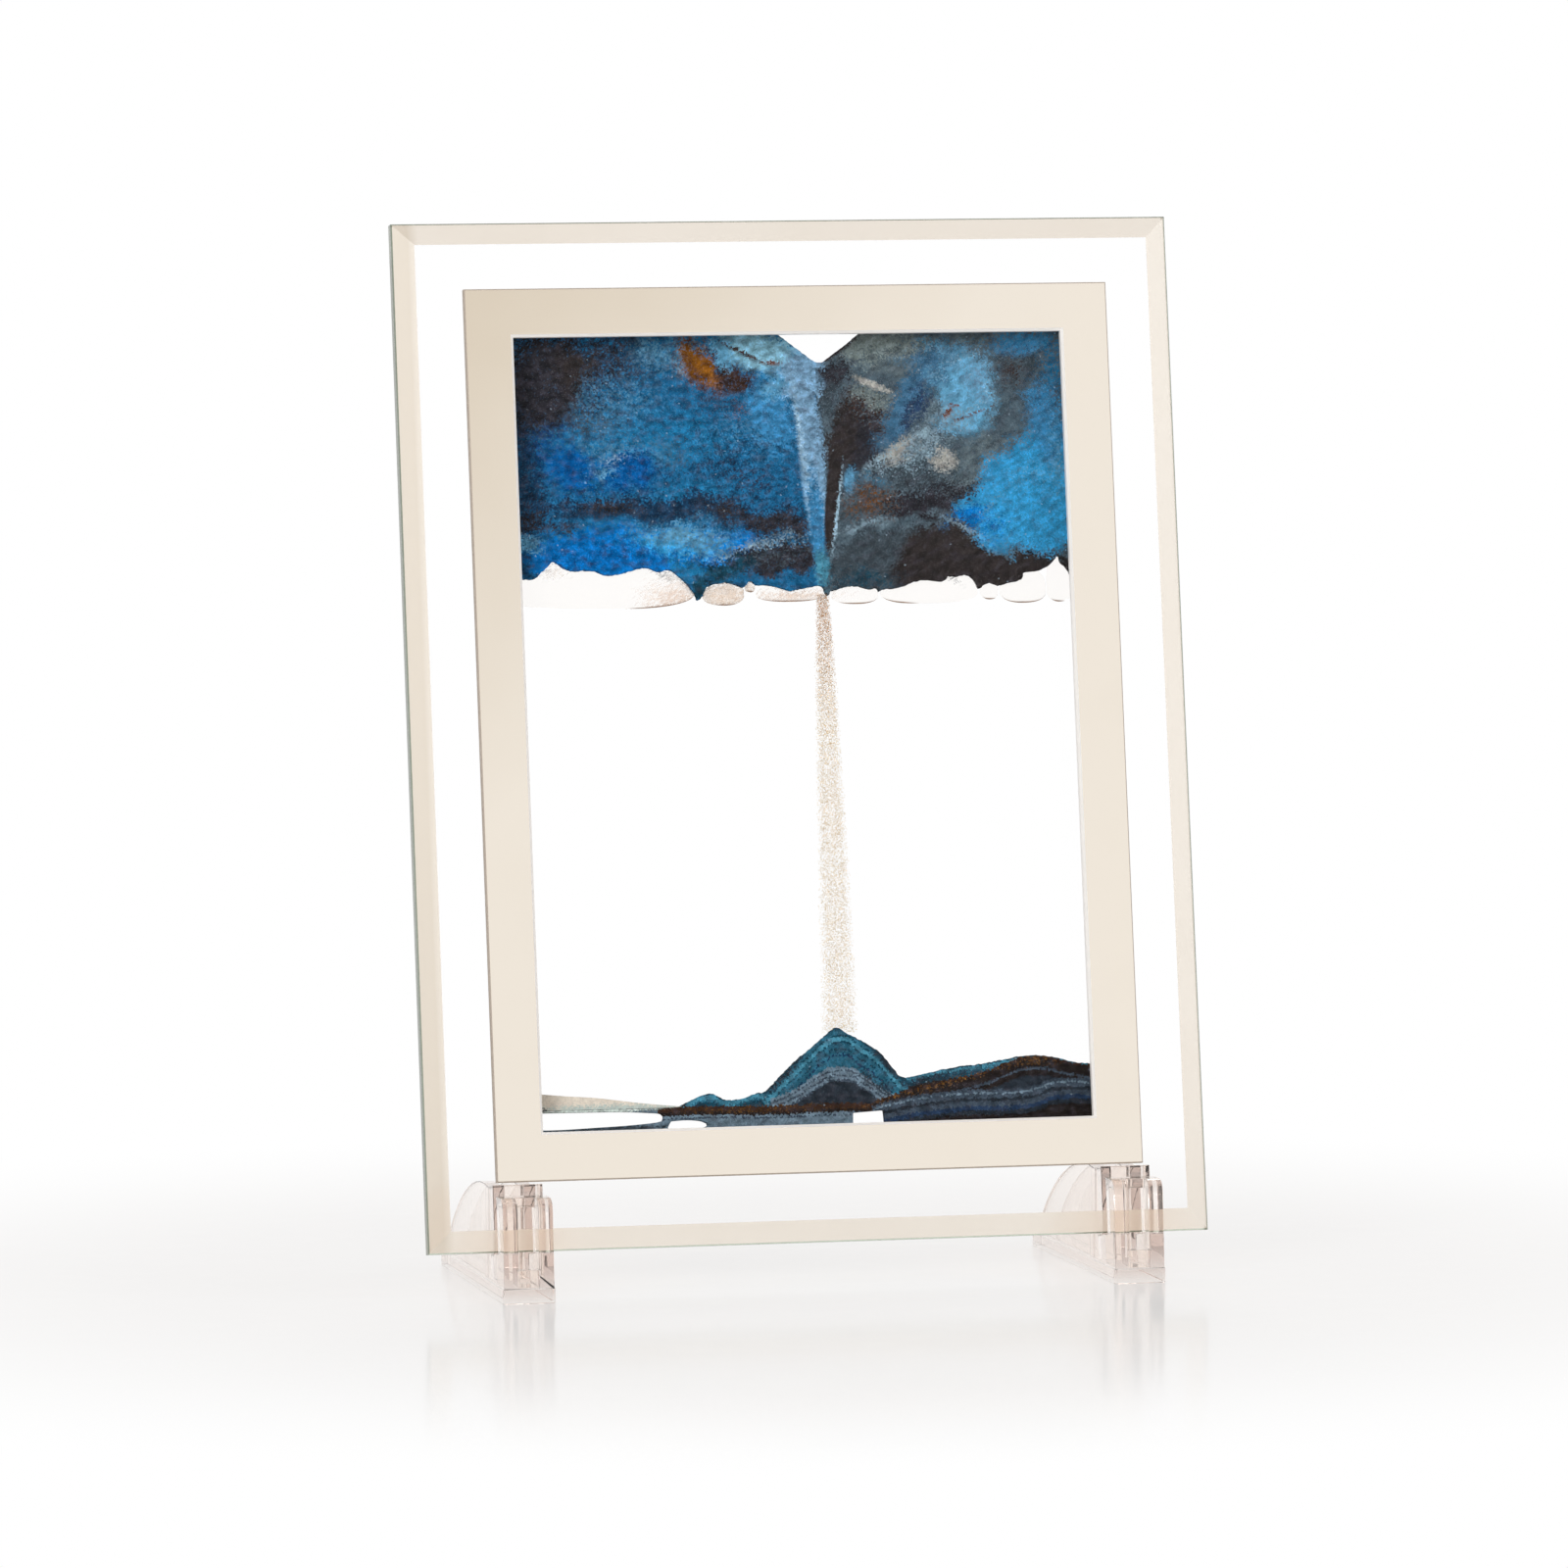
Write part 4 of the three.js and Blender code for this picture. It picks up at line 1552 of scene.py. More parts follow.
LEFT_PATCHES: tuple[Patch, ...] = (
    # speckled dark corner
    Patch(-61.5, 180, 4.5, 30, 0, Grain.NAVY, 0.5, 0.75),
    Patch(-54, 197, 13, 12, 0, Grain.CHARCOAL, 0.4, 0.92),
    Patch(-36, 202, 10, 6, 0, Grain.CHARCOAL, 0.6, 0.6),
    Patch(-48.5, 198.5, 6, 6.5, 0, Grain.BLACK, 0.6, 0.8),
    Patch(-40, 197.5, 5, 3, 0, Grain.BLACK, 0.7, 0.5),
    Patch(-57, 186, 6, 7, 0, Grain.CHARCOAL, 0.6, 0.55),
    # greyed and sky-blue specks
    Patch(-39, 190.5, 10, 6.5, 15, Grain.HAZE, 0.7, 0.45),
    Patch(-43, 186.5, 9, 3, 0, Grain.SLATE, 0.6, 0.5),
    Patch(-29, 202.5, 6, 4, 0, Grain.HAZE, 0.6, 0.6),
    Patch(-27, 184, 18, 6, 0, Grain.OCEAN, 0.7, 0.6),
    Patch(-36, 180.2, 15, 3.2, -3, Grain.SKY, 0.7, 0.45),
    Patch(-39.5, 178.8, 3.5, 1.4, 15, Grain.POWDER, 0.7, 0.5),
    # saturated blue
    Patch(-50, 176, 7, 4, 0, Grain.DEEP, 0.7, 0.85),
    Patch(-36.5, 175.8, 6.5, 4.2, 10, Grain.DEEP, 0.6, 0.9),
    Patch(-55.5, 181, 5, 5, 0, Grain.DEEP, 0.8, 0.5),
    Patch(-43.5, 175.8, 2.5, 1.2, 0, Grain.SKY, 0.7, 0.7),
    Patch(-15, 176, 16, 8, -5, Grain.NAVY, 0.9, 0.45),
    Patch(-22, 171, 10, 2.2, -5, Grain.OCEAN, 0.7, 0.6),
    Patch(-9, 185, 9, 6, 0, Grain.HAZE, 0.8, 0.35),
    Patch(-10, 172.5, 6, 3, 0, Grain.UMBER, 0.9, 0.35),
    Patch(-3, 190, 6, 9, 10, Grain.CORNFLOWER, 0.5, 0.8),
    # gold fleck and the brown about it
    Patch(-22, 202, 5, 4, 0, Grain.SANDSTONE, 0.7, 0.5),
    Patch(-20, 199.2, 7.5, 3, -42, Grain.BRONZE, 0.5, 0.85),
    Patch(-18.4, 197.8, 4.2, 2, -42, Grain.GOLD, 0.6, 0.85),
    Patch(-24, 202.6, 3, 0.9, -30, Grain.GOLD, 0.8, 0.4),
    Patch(-12, 197.2, 4.2, 4, 0, Grain.UMBER, 0.5, 0.85),
    Patch(-15.5, 192, 7, 4, -10, Grain.UMBER, 0.9, 0.4),
    Patch(-11.5, 189, 2.5, 2, 0, Grain.RUST, 0.8, 0.35),
    # pale sand under the dip
    Patch(-5, 203.6, 9.5, 4.2, -12, Grain.AIR, 0.4, 0.95),
    Patch(-13.5, 201.6, 3, 2.4, 0, Grain.SKY, 0.5, 0.9),
    Patch(-10, 202.7, 6.2, 0.5, -26, Grain.UMBER, 0.6, 0.75, Rim.DRAWN),
    Patch(-2.6, 200.1, 2.6, 0.6, -4, Grain.RUST, 0.7, 0.75, Rim.DRAWN),
    Patch(-3, 195.2, 2.8, 0.4, -20, Grain.UMBER, 0.8, 0.5, Rim.DRAWN),
    Patch(-2.5, 196, 3.5, 3.5, 0, Grain.SKY, 0.6, 0.7),
    # dark band
    Patch(-32, 167.3, 32, 2.8, -2, Grain.NAVY, 0.5, 0.85),
    Patch(-42, 168, 8, 2.2, 0, Grain.BLACK, 0.7, 0.6),
    Patch(-16, 166.5, 7, 2.4, 0, Grain.BLACK, 0.7, 0.6),
    Patch(-60, 165, 4, 4, 0, Grain.BLACK, 0.7, 0.6),
    Patch(-3, 163.5, 11, 3.2, -4, Grain.CHARCOAL, 0.5, 0.85),
    Patch(-55, 163.5, 5, 2, 0, Grain.CHARCOAL, 0.6, 0.6),
    # bright lens
    Patch(-34, 157, 27, 6.8, 2, Grain.BRIGHT, 0.14, 1.0),
    Patch(-44, 156, 15, 3.2, 0, Grain.DEEP, 0.8, 0.5),
    Patch(-26, 159.6, 11, 3.6, -6, Grain.AZURE, 0.6, 0.75),
    Patch(-25, 161.3, 10, 2.8, -4, Grain.SKY, 0.8, 0.75),
    Patch(-60.5, 159, 2.4, 2, 0, Grain.SKY, 0.7, 0.7),
    Patch(-19, 158, 7, 2.5, -15, Grain.HAZE, 0.8, 0.6),
    # slopes beside the throat
    Patch(-3, 155, 15, 3.6, 10, Grain.CHARCOAL, 0.25, 0.9),
    Patch(-5, 156, 12, 2.2, 12, Grain.SLATE, 0.8, 0.4),
    Patch(-8.5, 158.2, 12, 1.3, 12, Grain.MIST, 0.7, 0.6),
    Patch(-16, 152.2, 8, 2.6, 6, Grain.TEAL, 0.4, 0.9),
    Patch(-8, 150.6, 15, 1.5, 0, Grain.STEEL, 0.6, 0.75),
    Patch(-22, 149.5, 2.6, 4.5, 0, Grain.TEAL, 0.4, 0.95),
    Patch(-25, 152.5, 4, 2.5, -30, Grain.OCEAN, 0.5, 0.8),
)

RIGHT_PATCHES: tuple[Patch, ...] = (
    # grey shoulder and its pale streak
    Patch(22, 203.5, 11, 4.5, 0, Grain.GREY_GREEN, 0.5, 0.85),
    Patch(28, 199, 8, 3.2, -10, Grain.STONE, 0.6, 0.8),
    Patch(42, 205, 10, 1.8, 0, Grain.STONE, 0.7, 0.6),
    Patch(18, 188.5, 6, 6.5, -10, Grain.UMBER, 0.5, 0.6),
    Patch(17, 181, 5.5, 8, -12, Grain.CHARCOAL, 0.4, 0.95),
    Patch(20.5, 192.5, 5, 2, -20, Grain.GREY_GREEN, 0.7, 0.7),
    Patch(20, 195, 4.6, 0.75, -24, Grain.ASH, 0.6, 0.9, Rim.DRAWN),
    # blue diagonal
    Patch(28.5, 191.5, 3.2, 13, -32, Grain.COBALT, 0.45, 0.9),
    Patch(30, 189.5, 2.2, 6.5, -28, Grain.MIDNIGHT, 0.6, 0.8),
    Patch(33, 201, 6, 1.5, 12, Grain.COBALT, 0.6, 0.7),
    # light swirl
    Patch(42.6, 192.8, 7.6, 9.6, -6, Grain.SKY, 0.25, 0.95),
    Patch(37.5, 199, 5.5, 2.4, 40, Grain.HAZE, 0.5, 0.85),
    Patch(37.8, 186, 5, 3, 30, Grain.SKY, 0.5, 0.7),
    Patch(45.4, 196, 4, 6, 0, Grain.PERIWINKLE, 0.7, 0.5),
    Patch(37, 203.4, 7, 1.8, -8, Grain.HAZE, 0.7, 0.6),
    Patch(36.5, 197, 1.0, 6, -35, Grain.COBALT, 0.7, 0.6),
    Patch(48.5, 190.5, 1.2, 5, -20, Grain.STONE, 0.8, 0.6),
    Patch(40, 200.2, 6, 0.7, 24, Grain.POWDER, 0.8, 0.4),
    Patch(45, 192.5, 5, 0.6, 35, Grain.POWDER, 0.8, 0.35),
    Patch(37, 187, 6, 3.2, 0, Grain.MIST, 0.7, 0.5),
    Patch(37.6, 188.2, 1.7, 0.7, 45, Grain.RUST, 0.6, 0.8, Rim.DRAWN),
    Patch(39.2, 190, 1.5, 0.4, -10, Grain.RUST, 0.6, 0.6, Rim.DRAWN),
    Patch(42.5, 187.4, 5.5, 0.35, 20, Grain.RUST, 0.7, 0.6, Rim.DRAWN),
    # pale fans
    Patch(29, 178.5, 9, 4.5, 30, Grain.MIST, 0.7, 0.5),
    Patch(22.5, 178.4, 8, 1.5, 38, Grain.MIST, 0.6, 0.8),
    Patch(25.8, 179.6, 4, 2.4, 42, Grain.ASH, 0.6, 0.75),
    Patch(35.8, 178.3, 2.6, 1.8, -35, Grain.ASH, 0.6, 0.85),
    Patch(32, 182.5, 4, 1.5, -10, Grain.MIST, 0.7, 0.7),
    # slate mottle
    Patch(30, 173.2, 13, 3.6, -4, Grain.GRAPHITE, 0.6, 0.75),
    Patch(45, 176.5, 8.5, 5.5, 30, Grain.STONE, 0.6, 0.7),
    Patch(40, 170.8, 11, 3, 8, Grain.CHARCOAL, 0.7, 0.7),
    Patch(31, 167.2, 11, 2.4, 0, Grain.CHARCOAL, 0.5, 0.9),
    Patch(48, 182, 6, 2.5, 10, Grain.STONE, 0.7, 0.6),
    Patch(14.2, 173, 1.4, 3.4, -8, Grain.HAZE, 0.4, 0.9, Rim.DRAWN),
    Patch(18.5, 171.8, 4, 1.8, -10, Grain.HAZE, 0.7, 0.6),
    Patch(17, 167.5, 6, 4, 0, Grain.GRAPHITE, 0.6, 0.7),
    Patch(17.2, 168, 5.2, 3.2, -8, Grain.BRONZE, 0.8, 0.55),
    # speckled corner
    Patch(57, 204, 8, 3, 0, Grain.CORNFLOWER, 0.6, 0.75),
    Patch(55, 197.5, 6.5, 4.8, 0, Grain.GRAPHITE, 0.7, 0.7),
    Patch(52.5, 196.8, 2.6, 5, 5, Grain.UMBER, 0.6, 0.5),
    Patch(62.5, 197, 3, 7, 0, Grain.OCEAN, 0.7, 0.6),
    Patch(54, 190, 4.2, 7, 10, Grain.SLATE, 0.7, 0.7),
    Patch(60, 190, 5, 5, 0, Grain.CORNFLOWER, 0.6, 0.7),
    # bright blue slope
    Patch(55, 171.5, 17, 9, 47, Grain.AZURE, 0.25, 0.97),
    Patch(58, 164.5, 10, 8.5, 0, Grain.AZURE, 0.25, 0.97),
    Patch(61.5, 183, 4.5, 8, -10, Grain.CORNFLOWER, 0.5, 0.85),
    Patch(44, 167.6, 9, 3, 38, Grain.AZURE, 0.4, 0.9),
    Patch(41.5, 165.2, 6, 2, 24, Grain.BRIGHT, 0.5, 0.8),
    Patch(47, 162.5, 4, 3, 0, Grain.BRIGHT, 0.7, 0.5),
    Patch(46.5, 167.3, 4.5, 0.9, 38, Grain.SKY, 0.7, 0.6),
    Patch(57, 174, 7, 3, 20, Grain.SKY, 0.9, 0.35),
    Patch(62, 178, 3, 10, 0, Grain.SKY, 0.8, 0.45),
    # black hill and the pale line over it
    Patch(17.5, 162.4, 8, 1.1, 17, Grain.MIST, 0.7, 0.55),
    Patch(28, 150, 20, 12.6, 0, Grain.GRAPHITE, 0.1, 1.0),
    Patch(35, 152, 11, 11.6, 0, Grain.BLACK, 0.25, 0.95),
    Patch(53, 149.5, 18, 6.4, 0, Grain.BLACK, 0.14, 1.0),
    Patch(42, 152, 7, 7, 0, Grain.BLACK, 0.2, 1.0),
    Patch(16, 150, 8, 3, 0, Grain.TEAL, 0.7, 0.6),
    Patch(40.3, 161.8, 5.5, 0.7, -30, Grain.POWDER, 0.8, 0.5, Rim.DRAWN),
)

CREASE_PATCHES: tuple[Patch, ...] = (
    Patch(4.2, 196.5, 5, 6.5, -8, Grain.PERIWINKLE, 0.3, 0.9),
    Patch(5.6, 178, 3, 20, 3.3, Grain.PERIWINKLE, 0.25, 0.95, Rim.DRAWN),
    Patch(6.2, 163, 1.9, 12, 4, Grain.CORNFLOWER, 0.4, 0.9, Rim.DRAWN),
    Patch(7, 153, 1.7, 4.5, 0, Grain.LAGOON, 0.5, 0.9, Rim.DRAWN),
    Patch(2.9, 184, 0.8, 13, 7, Grain.POWDER, 0.7, 0.5, Rim.DRAWN),
    Patch(9.3, 191.5, 2.2, 7.5, -4, Grain.GRAPHITE, 0.6, 0.7),
    Patch(13.5, 184, 3, 8, -15, Grain.BLACK, 0.5, 0.85),
    Patch(10.3, 172, 1.6, 15.5, -7.4, Grain.BLACK, 0.25, 1.0, Rim.DRAWN),
    Patch(11, 166, 0.35, 9.5, -9, Grain.POWDER, 0.5, 0.9, Rim.DRAWN),
    Patch(12.8, 203.2, 5.5, 0.9, 36, Grain.BLACK, 0.5, 0.9, Rim.DRAWN),
    Patch(10.6, 197.5, 2.6, 5, -10, Grain.CHARCOAL, 0.5, 0.8),
)

DUNE_LAYERS: tuple[Layers, ...] = (
    # thin grey beds against the left wall
    Layers(
        ((-65.6, 31.8), (-50.0, 31.9), (-40.0, 31.8), (-31.0, 31.9)),
        ((0.0, Grain.MIST), (0.6, Grain.GREY_GREEN), (0.9, Grain.FOG)),
        9.0,
    ),
    # ripples
    Layers(
        ((-34.0, 32.0), (-28.6, 33.2), (-24.0, 34.8), (-20.2, 33.3), (-12.6, 34.7), (-8.0, 33.0)),
        ((0.0, Grain.TEAL), (0.7, Grain.LAGOON), (1.7, Grain.SEA), (2.3, Grain.TEAL)),
        9.0,
    ),
    # drift
    Layers(
        ((13.0, 33.0), (20.8, 37.2), (32.0, 39.0), (40.0, 39.8), (47.0, 41.0), (52.0, 41.3), (57.0, 40.7),
         (65.6, 39.2)),
        ((0.0, Grain.TEAL), (0.6, Grain.LAGOON), (1.3, Grain.SEA), (1.9, Grain.TEAL), (2.8, Grain.CLAY),
         (3.6, Grain.BASALT)),
        15.0,
    ),
    # heap over its slate arch and dark core
    Layers(
        ((-11.5, 34.5), (-5.0, 40.2), (0.0, 44.8), (3.2, 47.3), (7.0, 48.6), (10.2, 46.7), (15.0, 43.4),
         (19.0, 38.8), (22.0, 35.6)),
        ((0.0, Grain.TEAL), (0.8, Grain.SEA), (1.8, Grain.TEAL), (2.1, Grain.LAGOON), (3.3, Grain.TEAL),
         (3.6, Grain.SEA), (4.8, Grain.TEAL), (5.1, Grain.SEA), (6.1, Grain.NAVY), (6.5, Grain.SEA)),
        17.0,
    ),
    Layers(
        ((-10.0, 32.6), (-4.0, 35.0), (2.0, 38.4), (6.5, 39.6), (11.0, 38.0), (16.0, 34.4), (20.0, 32.4)),
        ((0.0, Grain.FOG), (0.7, Grain.SHALE), (1.0, Grain.FOG), (1.8, Grain.SHALE), (2.2, Grain.FOG),
         (2.9, Grain.SHALE), (3.3, Grain.BASALT)),
        11.0,
    ),
    # gold streak that climbs over a dark hump to the right
    Layers(
        ((12.0, 30.6), (20.0, 33.4), (30.0, 35.6), (40.0, 37.6), (46.0, 39.8), (52.0, 40.8), (58.0, 39.6),
         (65.6, 38.2)),
        ((0.0, Grain.UMBER), (0.5, Grain.CLAY), (2.6, Grain.SHALE), (3.1, Grain.CLAY), (4.4, Grain.BASALT)),
        14.0,
    ),
    # slate waves under it
    Layers(
        ((12.0, 29.8), (20.0, 32.0), (30.0, 33.2), (38.0, 33.6), (44.0, 33.4), (52.0, 34.2), (58.0, 35.6),
         (65.6, 35.1)),
        ((0.0, Grain.SHALE), (0.7, Grain.FOG), (1.0, Grain.SHALE), (2.0, Grain.BASALT), (2.7, Grain.SHALE),
         (3.8, Grain.MIDNIGHT), (4.8, Grain.BASALT), (5.8, Grain.CLAY)),
        12.0,
    ),
    # gold streak over slate under the ripples and the heap
    Layers(
        ((-36.0, 31.4), (-30.0, 31.6), (-20.0, 31.5), (-8.0, 31.2), (4.0, 31.4), (13.5, 30.8)),
        ((0.0, Grain.UMBER), (1.2, Grain.CLAY), (2.0, Grain.FOG), (2.5, Grain.SHALE), (2.8, Grain.FOG)),
        9.0,
    ),
)

SILT_PATCHES: tuple[Patch, ...] = (
    Patch(-48, 31.6, 19, 0.9, 0, Grain.LICHEN, 0.7, 0.9, Rim.DRAWN),
    Patch(-64.0, 32.0, 2.8, 0.7, -14, Grain.GRAPHITE, 0.4, 0.9, Rim.DRAWN),
)

DUNE_PATCHES: tuple[Patch, ...] = (
    Patch(-52, 31.3, 16, 0.6, 0, Grain.LICHEN, 0.3, 0.95, Rim.DRAWN),
    Patch(-48, 27.1, 16, 0.6, 0, Grain.GRAPHITE, 0.5, 0.9, Rim.DRAWN),
    Patch(-12, 30.4, 24, 1.1, 0, Grain.GLITTER, 0.6, 0.2, Rim.DRAWN),
    Patch(30, 35.0, 16, 0.8, 13, Grain.GLITTER, 0.8, 0.26, Rim.DRAWN),
    Patch(52, 39.8, 9, 1.2, 0, Grain.GLITTER, 0.8, 0.2, Rim.DRAWN),
    Patch(-4, 38.6, 7, 1.6, 42, Grain.LAGOON, 0.8, 0.4, Rim.DRAWN),
    Patch(-7, 37.4, 6, 0.8, 42, Grain.BASALT, 0.7, 0.7, Rim.DRAWN),
    Patch(16.8, 40.6, 5.4, 1.0, -50, Grain.BASALT, 0.6, 0.75, Rim.DRAWN),
    Patch(14.5, 35.6, 5, 1.2, -40, Grain.BASALT, 0.7, 0.6, Rim.DRAWN),
    Patch(28, 36.6, 10, 0.9, 11, Grain.BASALT, 0.7, 0.6, Rim.DRAWN),
)

POCKET_DUST_AND_SHADE: tuple[Patch, ...] = (
    # Peach and blush patches are painted shade on the pockets; tan, stone, graphite and rust are stray
    # grains
    Patch(-27, 146.6, 7, 3.4, -8, Grain.PEACH, 0.8, 0.6),
    Patch(-24.6, 149.6, 5, 1.8, -40, Grain.BLUSH, 0.7, 0.5),
    Patch(-16, 147.4, 6.2, 3.0, 0, Grain.TAN, 0.3, 0.6),
    Patch(-9.8, 149.2, 1.6, 1.6, 0, Grain.TAN, 0.4, 0.6),
    Patch(-0.5, 146.6, 10, 1.2, 0, Grain.PEACH, 0.7, 0.55),
    Patch(-24.4, 149.4, 4.5, 1.5, -40, Grain.STONE, 0.7, 0.22),
    Patch(-30.2, 152.6, 3.2, 0.7, -18, Grain.GRAPHITE, 0.7, 0.35),
    Patch(-16, 147.2, 5, 2.4, 0, Grain.RUST, 0.7, 0.12),
    Patch(-54.5, 153.4, 2.6, 1.6, 0, Grain.BLUSH, 0.8, 0.4),
    Patch(37, 150.3, 2.4, 0.5, -30, Grain.STONE, 0.8, 0.3),
)


@dataclass
class SandCell:
    """What is sealed behind the pane: hanging sand, falling grains, dunes, air and liquid.

    Lengths are in mm. A stream or thread has its narrowest and widest size, and a grain its smallest
    and largest radius. Mottle, streak and streak_turn of each half are those of its wet sand.
    """

    edge_step: float = 0.5
    gap_step: float = 1.0
    fray: float = 0.12
    crease_x: float = 7.2
    left_look: tuple[float, float, float] = (0.42, 1.5, 0.0)
    right_look: tuple[float, float, float] = (0.3, 1.9, 30.0)
    stream_x: float = 7.0
    stream_top: float = 147.2
    stream_foot: float = 47.4
    stream_w: Point = (2.2, 6.8)
    stream_bow: float = 0.62
    stream_depth: float = 1.1
    stream_stray: float = 0.15
    stream_seed: int = 11
    grain_count: int = 20000
    grain_r: Point = (0.03, 0.08)
    grain_uneven: Point = (0.75, 1.2)
    pocket_skin: float = 0.15
    pocket_column: float = 0.7
    pocket_rows: int = 10
    fewest_columns: int = 12
    thread_step: float = 0.8
    fewest_steps: int = 10
    thread_sides: int = 6
    thread_r: Point = (0.02, 0.17)
    thread_depth: float = 0.5
    liquid_over: float = 0.1
    liquid_film: float = 0.25

    def build(self) -> list[bpy.types.Object]:
        """Makes everything in the cell.

        Returns:
            The pieces.
        """
        return [
            *self.hanging_sand(), self.dunes(), self.silt_wedge(), self.falling_grains(), *self.pockets(),
            self.liquid(),
        ]

    def hanging_sand(self) -> list[bpy.types.Object]:
        """Makes the upper sand in two halves that meet in the crease under its dip.

        Returns:
            The left half and the right half.
        """
        under = roughen(smooth_line(SAND_UNDERSIDE, self.edge_step), self.fray, seed=3)
        top = roughen(smooth_line(SAND_TOP[1:-1], self.edge_step), self.fray / 2, seed=4)
        top = [SAND_TOP[0], *top, SAND_TOP[-1]]
        low_joint = (self.crease_x, height_on(under, self.crease_x))
        high_joint = (self.crease_x, height_on(top[::-1], self.crease_x))
        left = [*(p for p in under if p[0] < self.crease_x), low_joint, high_joint]
        left += [p for p in top if p[0] < self.crease_x]
        right = [low_joint, *(p for p in under if p[0] > self.crease_x)]
        right += [*(p for p in top if p[0] > self.crease_x), high_joint]
        halves = (
            ("left", left, GrainField(Grain.STEEL, LEFT_PATCHES + CREASE_PATCHES), "blue_sand",
             ("upper_blue_sand", "upper_pale_sand"), self.left_look),
            ("right", right, GrainField(Grain.SLATE, RIGHT_PATCHES + CREASE_PATCHES), "slate_sand",
             ("upper_slate_sand", "upper_black_sand"), self.right_look),
        )
        made = []
        for side, outline, field, slot, solids, (mottle, streak, turn) in halves:
            points, faces = slab([outline], SAND_FRONT, SAND_BACK)
            finish = WetSand(
                f"wet_dyed_sand_{side}", field, mottle=mottle, streak=streak, streak_turn=turn
            )
            sand = make_piece(f"hanging_sand_{side}", points, faces, (finish,))
            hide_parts(*solids)
            made.append(sand)
        return made

    def dunes(self) -> bpy.types.Object:
        """Makes the fallen sand: thin beds, ripples, heap and drift, with clear gaps on the floor.

        Returns:
            The dunes.
        """
        crest = roughen(smooth_line(DUNE_CREST, self.edge_step), self.fray, seed=5)
        outline = [*crest, (FILL_HALF, CELL_FLOOR), (-FILL_HALF, CELL_FLOOR)]
        gaps = [smooth_line((*gap, gap[0]), self.gap_step)[:-1] for gap in FLOOR_GAPS]
        points, faces = slab([outline, *gaps], SAND_FRONT, SAND_BACK)
        field = GrainField(Grain.BASALT, DUNE_PATCHES, DUNE_LAYERS, scatter=0.9)
        finish = WetSand("wet_dyed_sand_fallen", field, mottle=0.35)
        sand = make_piece("dunes", points, faces, (finish,))
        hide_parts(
            "lower_slate_bed", "lower_gold_streak", "lower_blue_ripple", "lower_blue_cone",
            "lower_blue_drift",
        )
        return sand

    def silt_wedge(self) -> bpy.types.Object:
        """Makes the smooth wedge of pale silt that lies on the dunes.

        Returns:
            The wedge.
        """
        top = smooth_line(SILT_TOP, self.edge_step)
        outline = [*top, (SILT_TOP[-1][0], SILT_FLOOR), (-FILL_HALF, SILT_FLOOR)]
        points, faces = slab([outline], SAND_FRONT, SAND_BACK)
        field = GrainField(Grain.BEIGE, SILT_PATCHES)
        finish = WetSand("settled_pale_silt", field, mottle=0.06, grain_tone=0.07, painted_glints=0.0)
        silt = make_piece("silt_wedge", points, faces, (finish,))
        return silt

    def falling_grains(self) -> bpy.types.Object:
        """Makes the stream of grains between the throat and the heap.

        Returns:
            All its grains, as one piece.
        """
        draw = random.Random(self.stream_seed)
        points: list[Vector] = []
        faces: list[Face] = []
        middle = (SAND_FRONT + SAND_BACK) / 2
        tips = ((1, 1, 1), (-1, -1, 1), (-1, 1, -1), (1, -1, -1))
        sides = ((0, 1, 3), (0, 2, 1), (0, 3, 2), (1, 2, 3))
        throat, foot = self.stream_w
        stray = self.stream_stray
        for _ in range(self.grain_count):
            fallen = draw.random()
            z = self.stream_top + (self.stream_foot - self.stream_top) * fallen
            wide = throat + (foot - throat) * fallen**self.stream_bow
            spot = Vector((
                self.stream_x + wide * (draw.uniform(-0.5, 0.5) + draw.uniform(-stray, stray)),
                middle + self.stream_depth * draw.uniform(-1, 1),
                z,
            ))
            radius = draw.uniform(*self.grain_r)
            start = len(points)
            points += [spot + Vector(tip) * radius * draw.uniform(*self.grain_uneven) for tip in tips]
            faces += [tuple(start + i for i in side) for side in sides]
        grains = make_piece("falling_grains", points, faces, (LooseGrains(),))
        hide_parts("falling_sand")
        return grains

    def pockets(self) -> list[bpy.types.Object]:
        """Makes the air pockets under the hanging sand.

        Returns:
            The pockets, from left to right.
        """
        underside = smooth_line(SAND_UNDERSIDE, self.edge_step)
        field = GrainField(Grain.BLUSH, POCKET_DUST_AND_SHADE, swirl=1.2)
        # The second finish is the brown thread: partly silt, partly painted shade of the pocket's rim
        finishes = (AirFilm("dusted_air_film", field), SiltAndShadeLine())
        made = []
        for number, pocket in enumerate(POCKETS, start=1):
            points, faces = self.pocket_body(pocket, underside)
            line_points, line_faces = self.pocket_line(pocket)
            slots = [0] * len(faces) + [1] * len(line_faces)
            faces += [tuple(len(points) + i for i in face) for face in line_faces]
            piece = make_piece(
                f"air_pocket_{number}", points + line_points, faces, finishes, slots, smooth=True
            )
            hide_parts(f"air_bubble_{number}")
            made.append(piece)
        return made

    @staticmethod
    def swell(share: float, corner: float = 2.6) -> float:
        """Returns the height from 0 to 1 of a squarish oval at a share of its half width."""
        return max(0.0, 1 - abs(share) ** corner) ** (1 / corner)

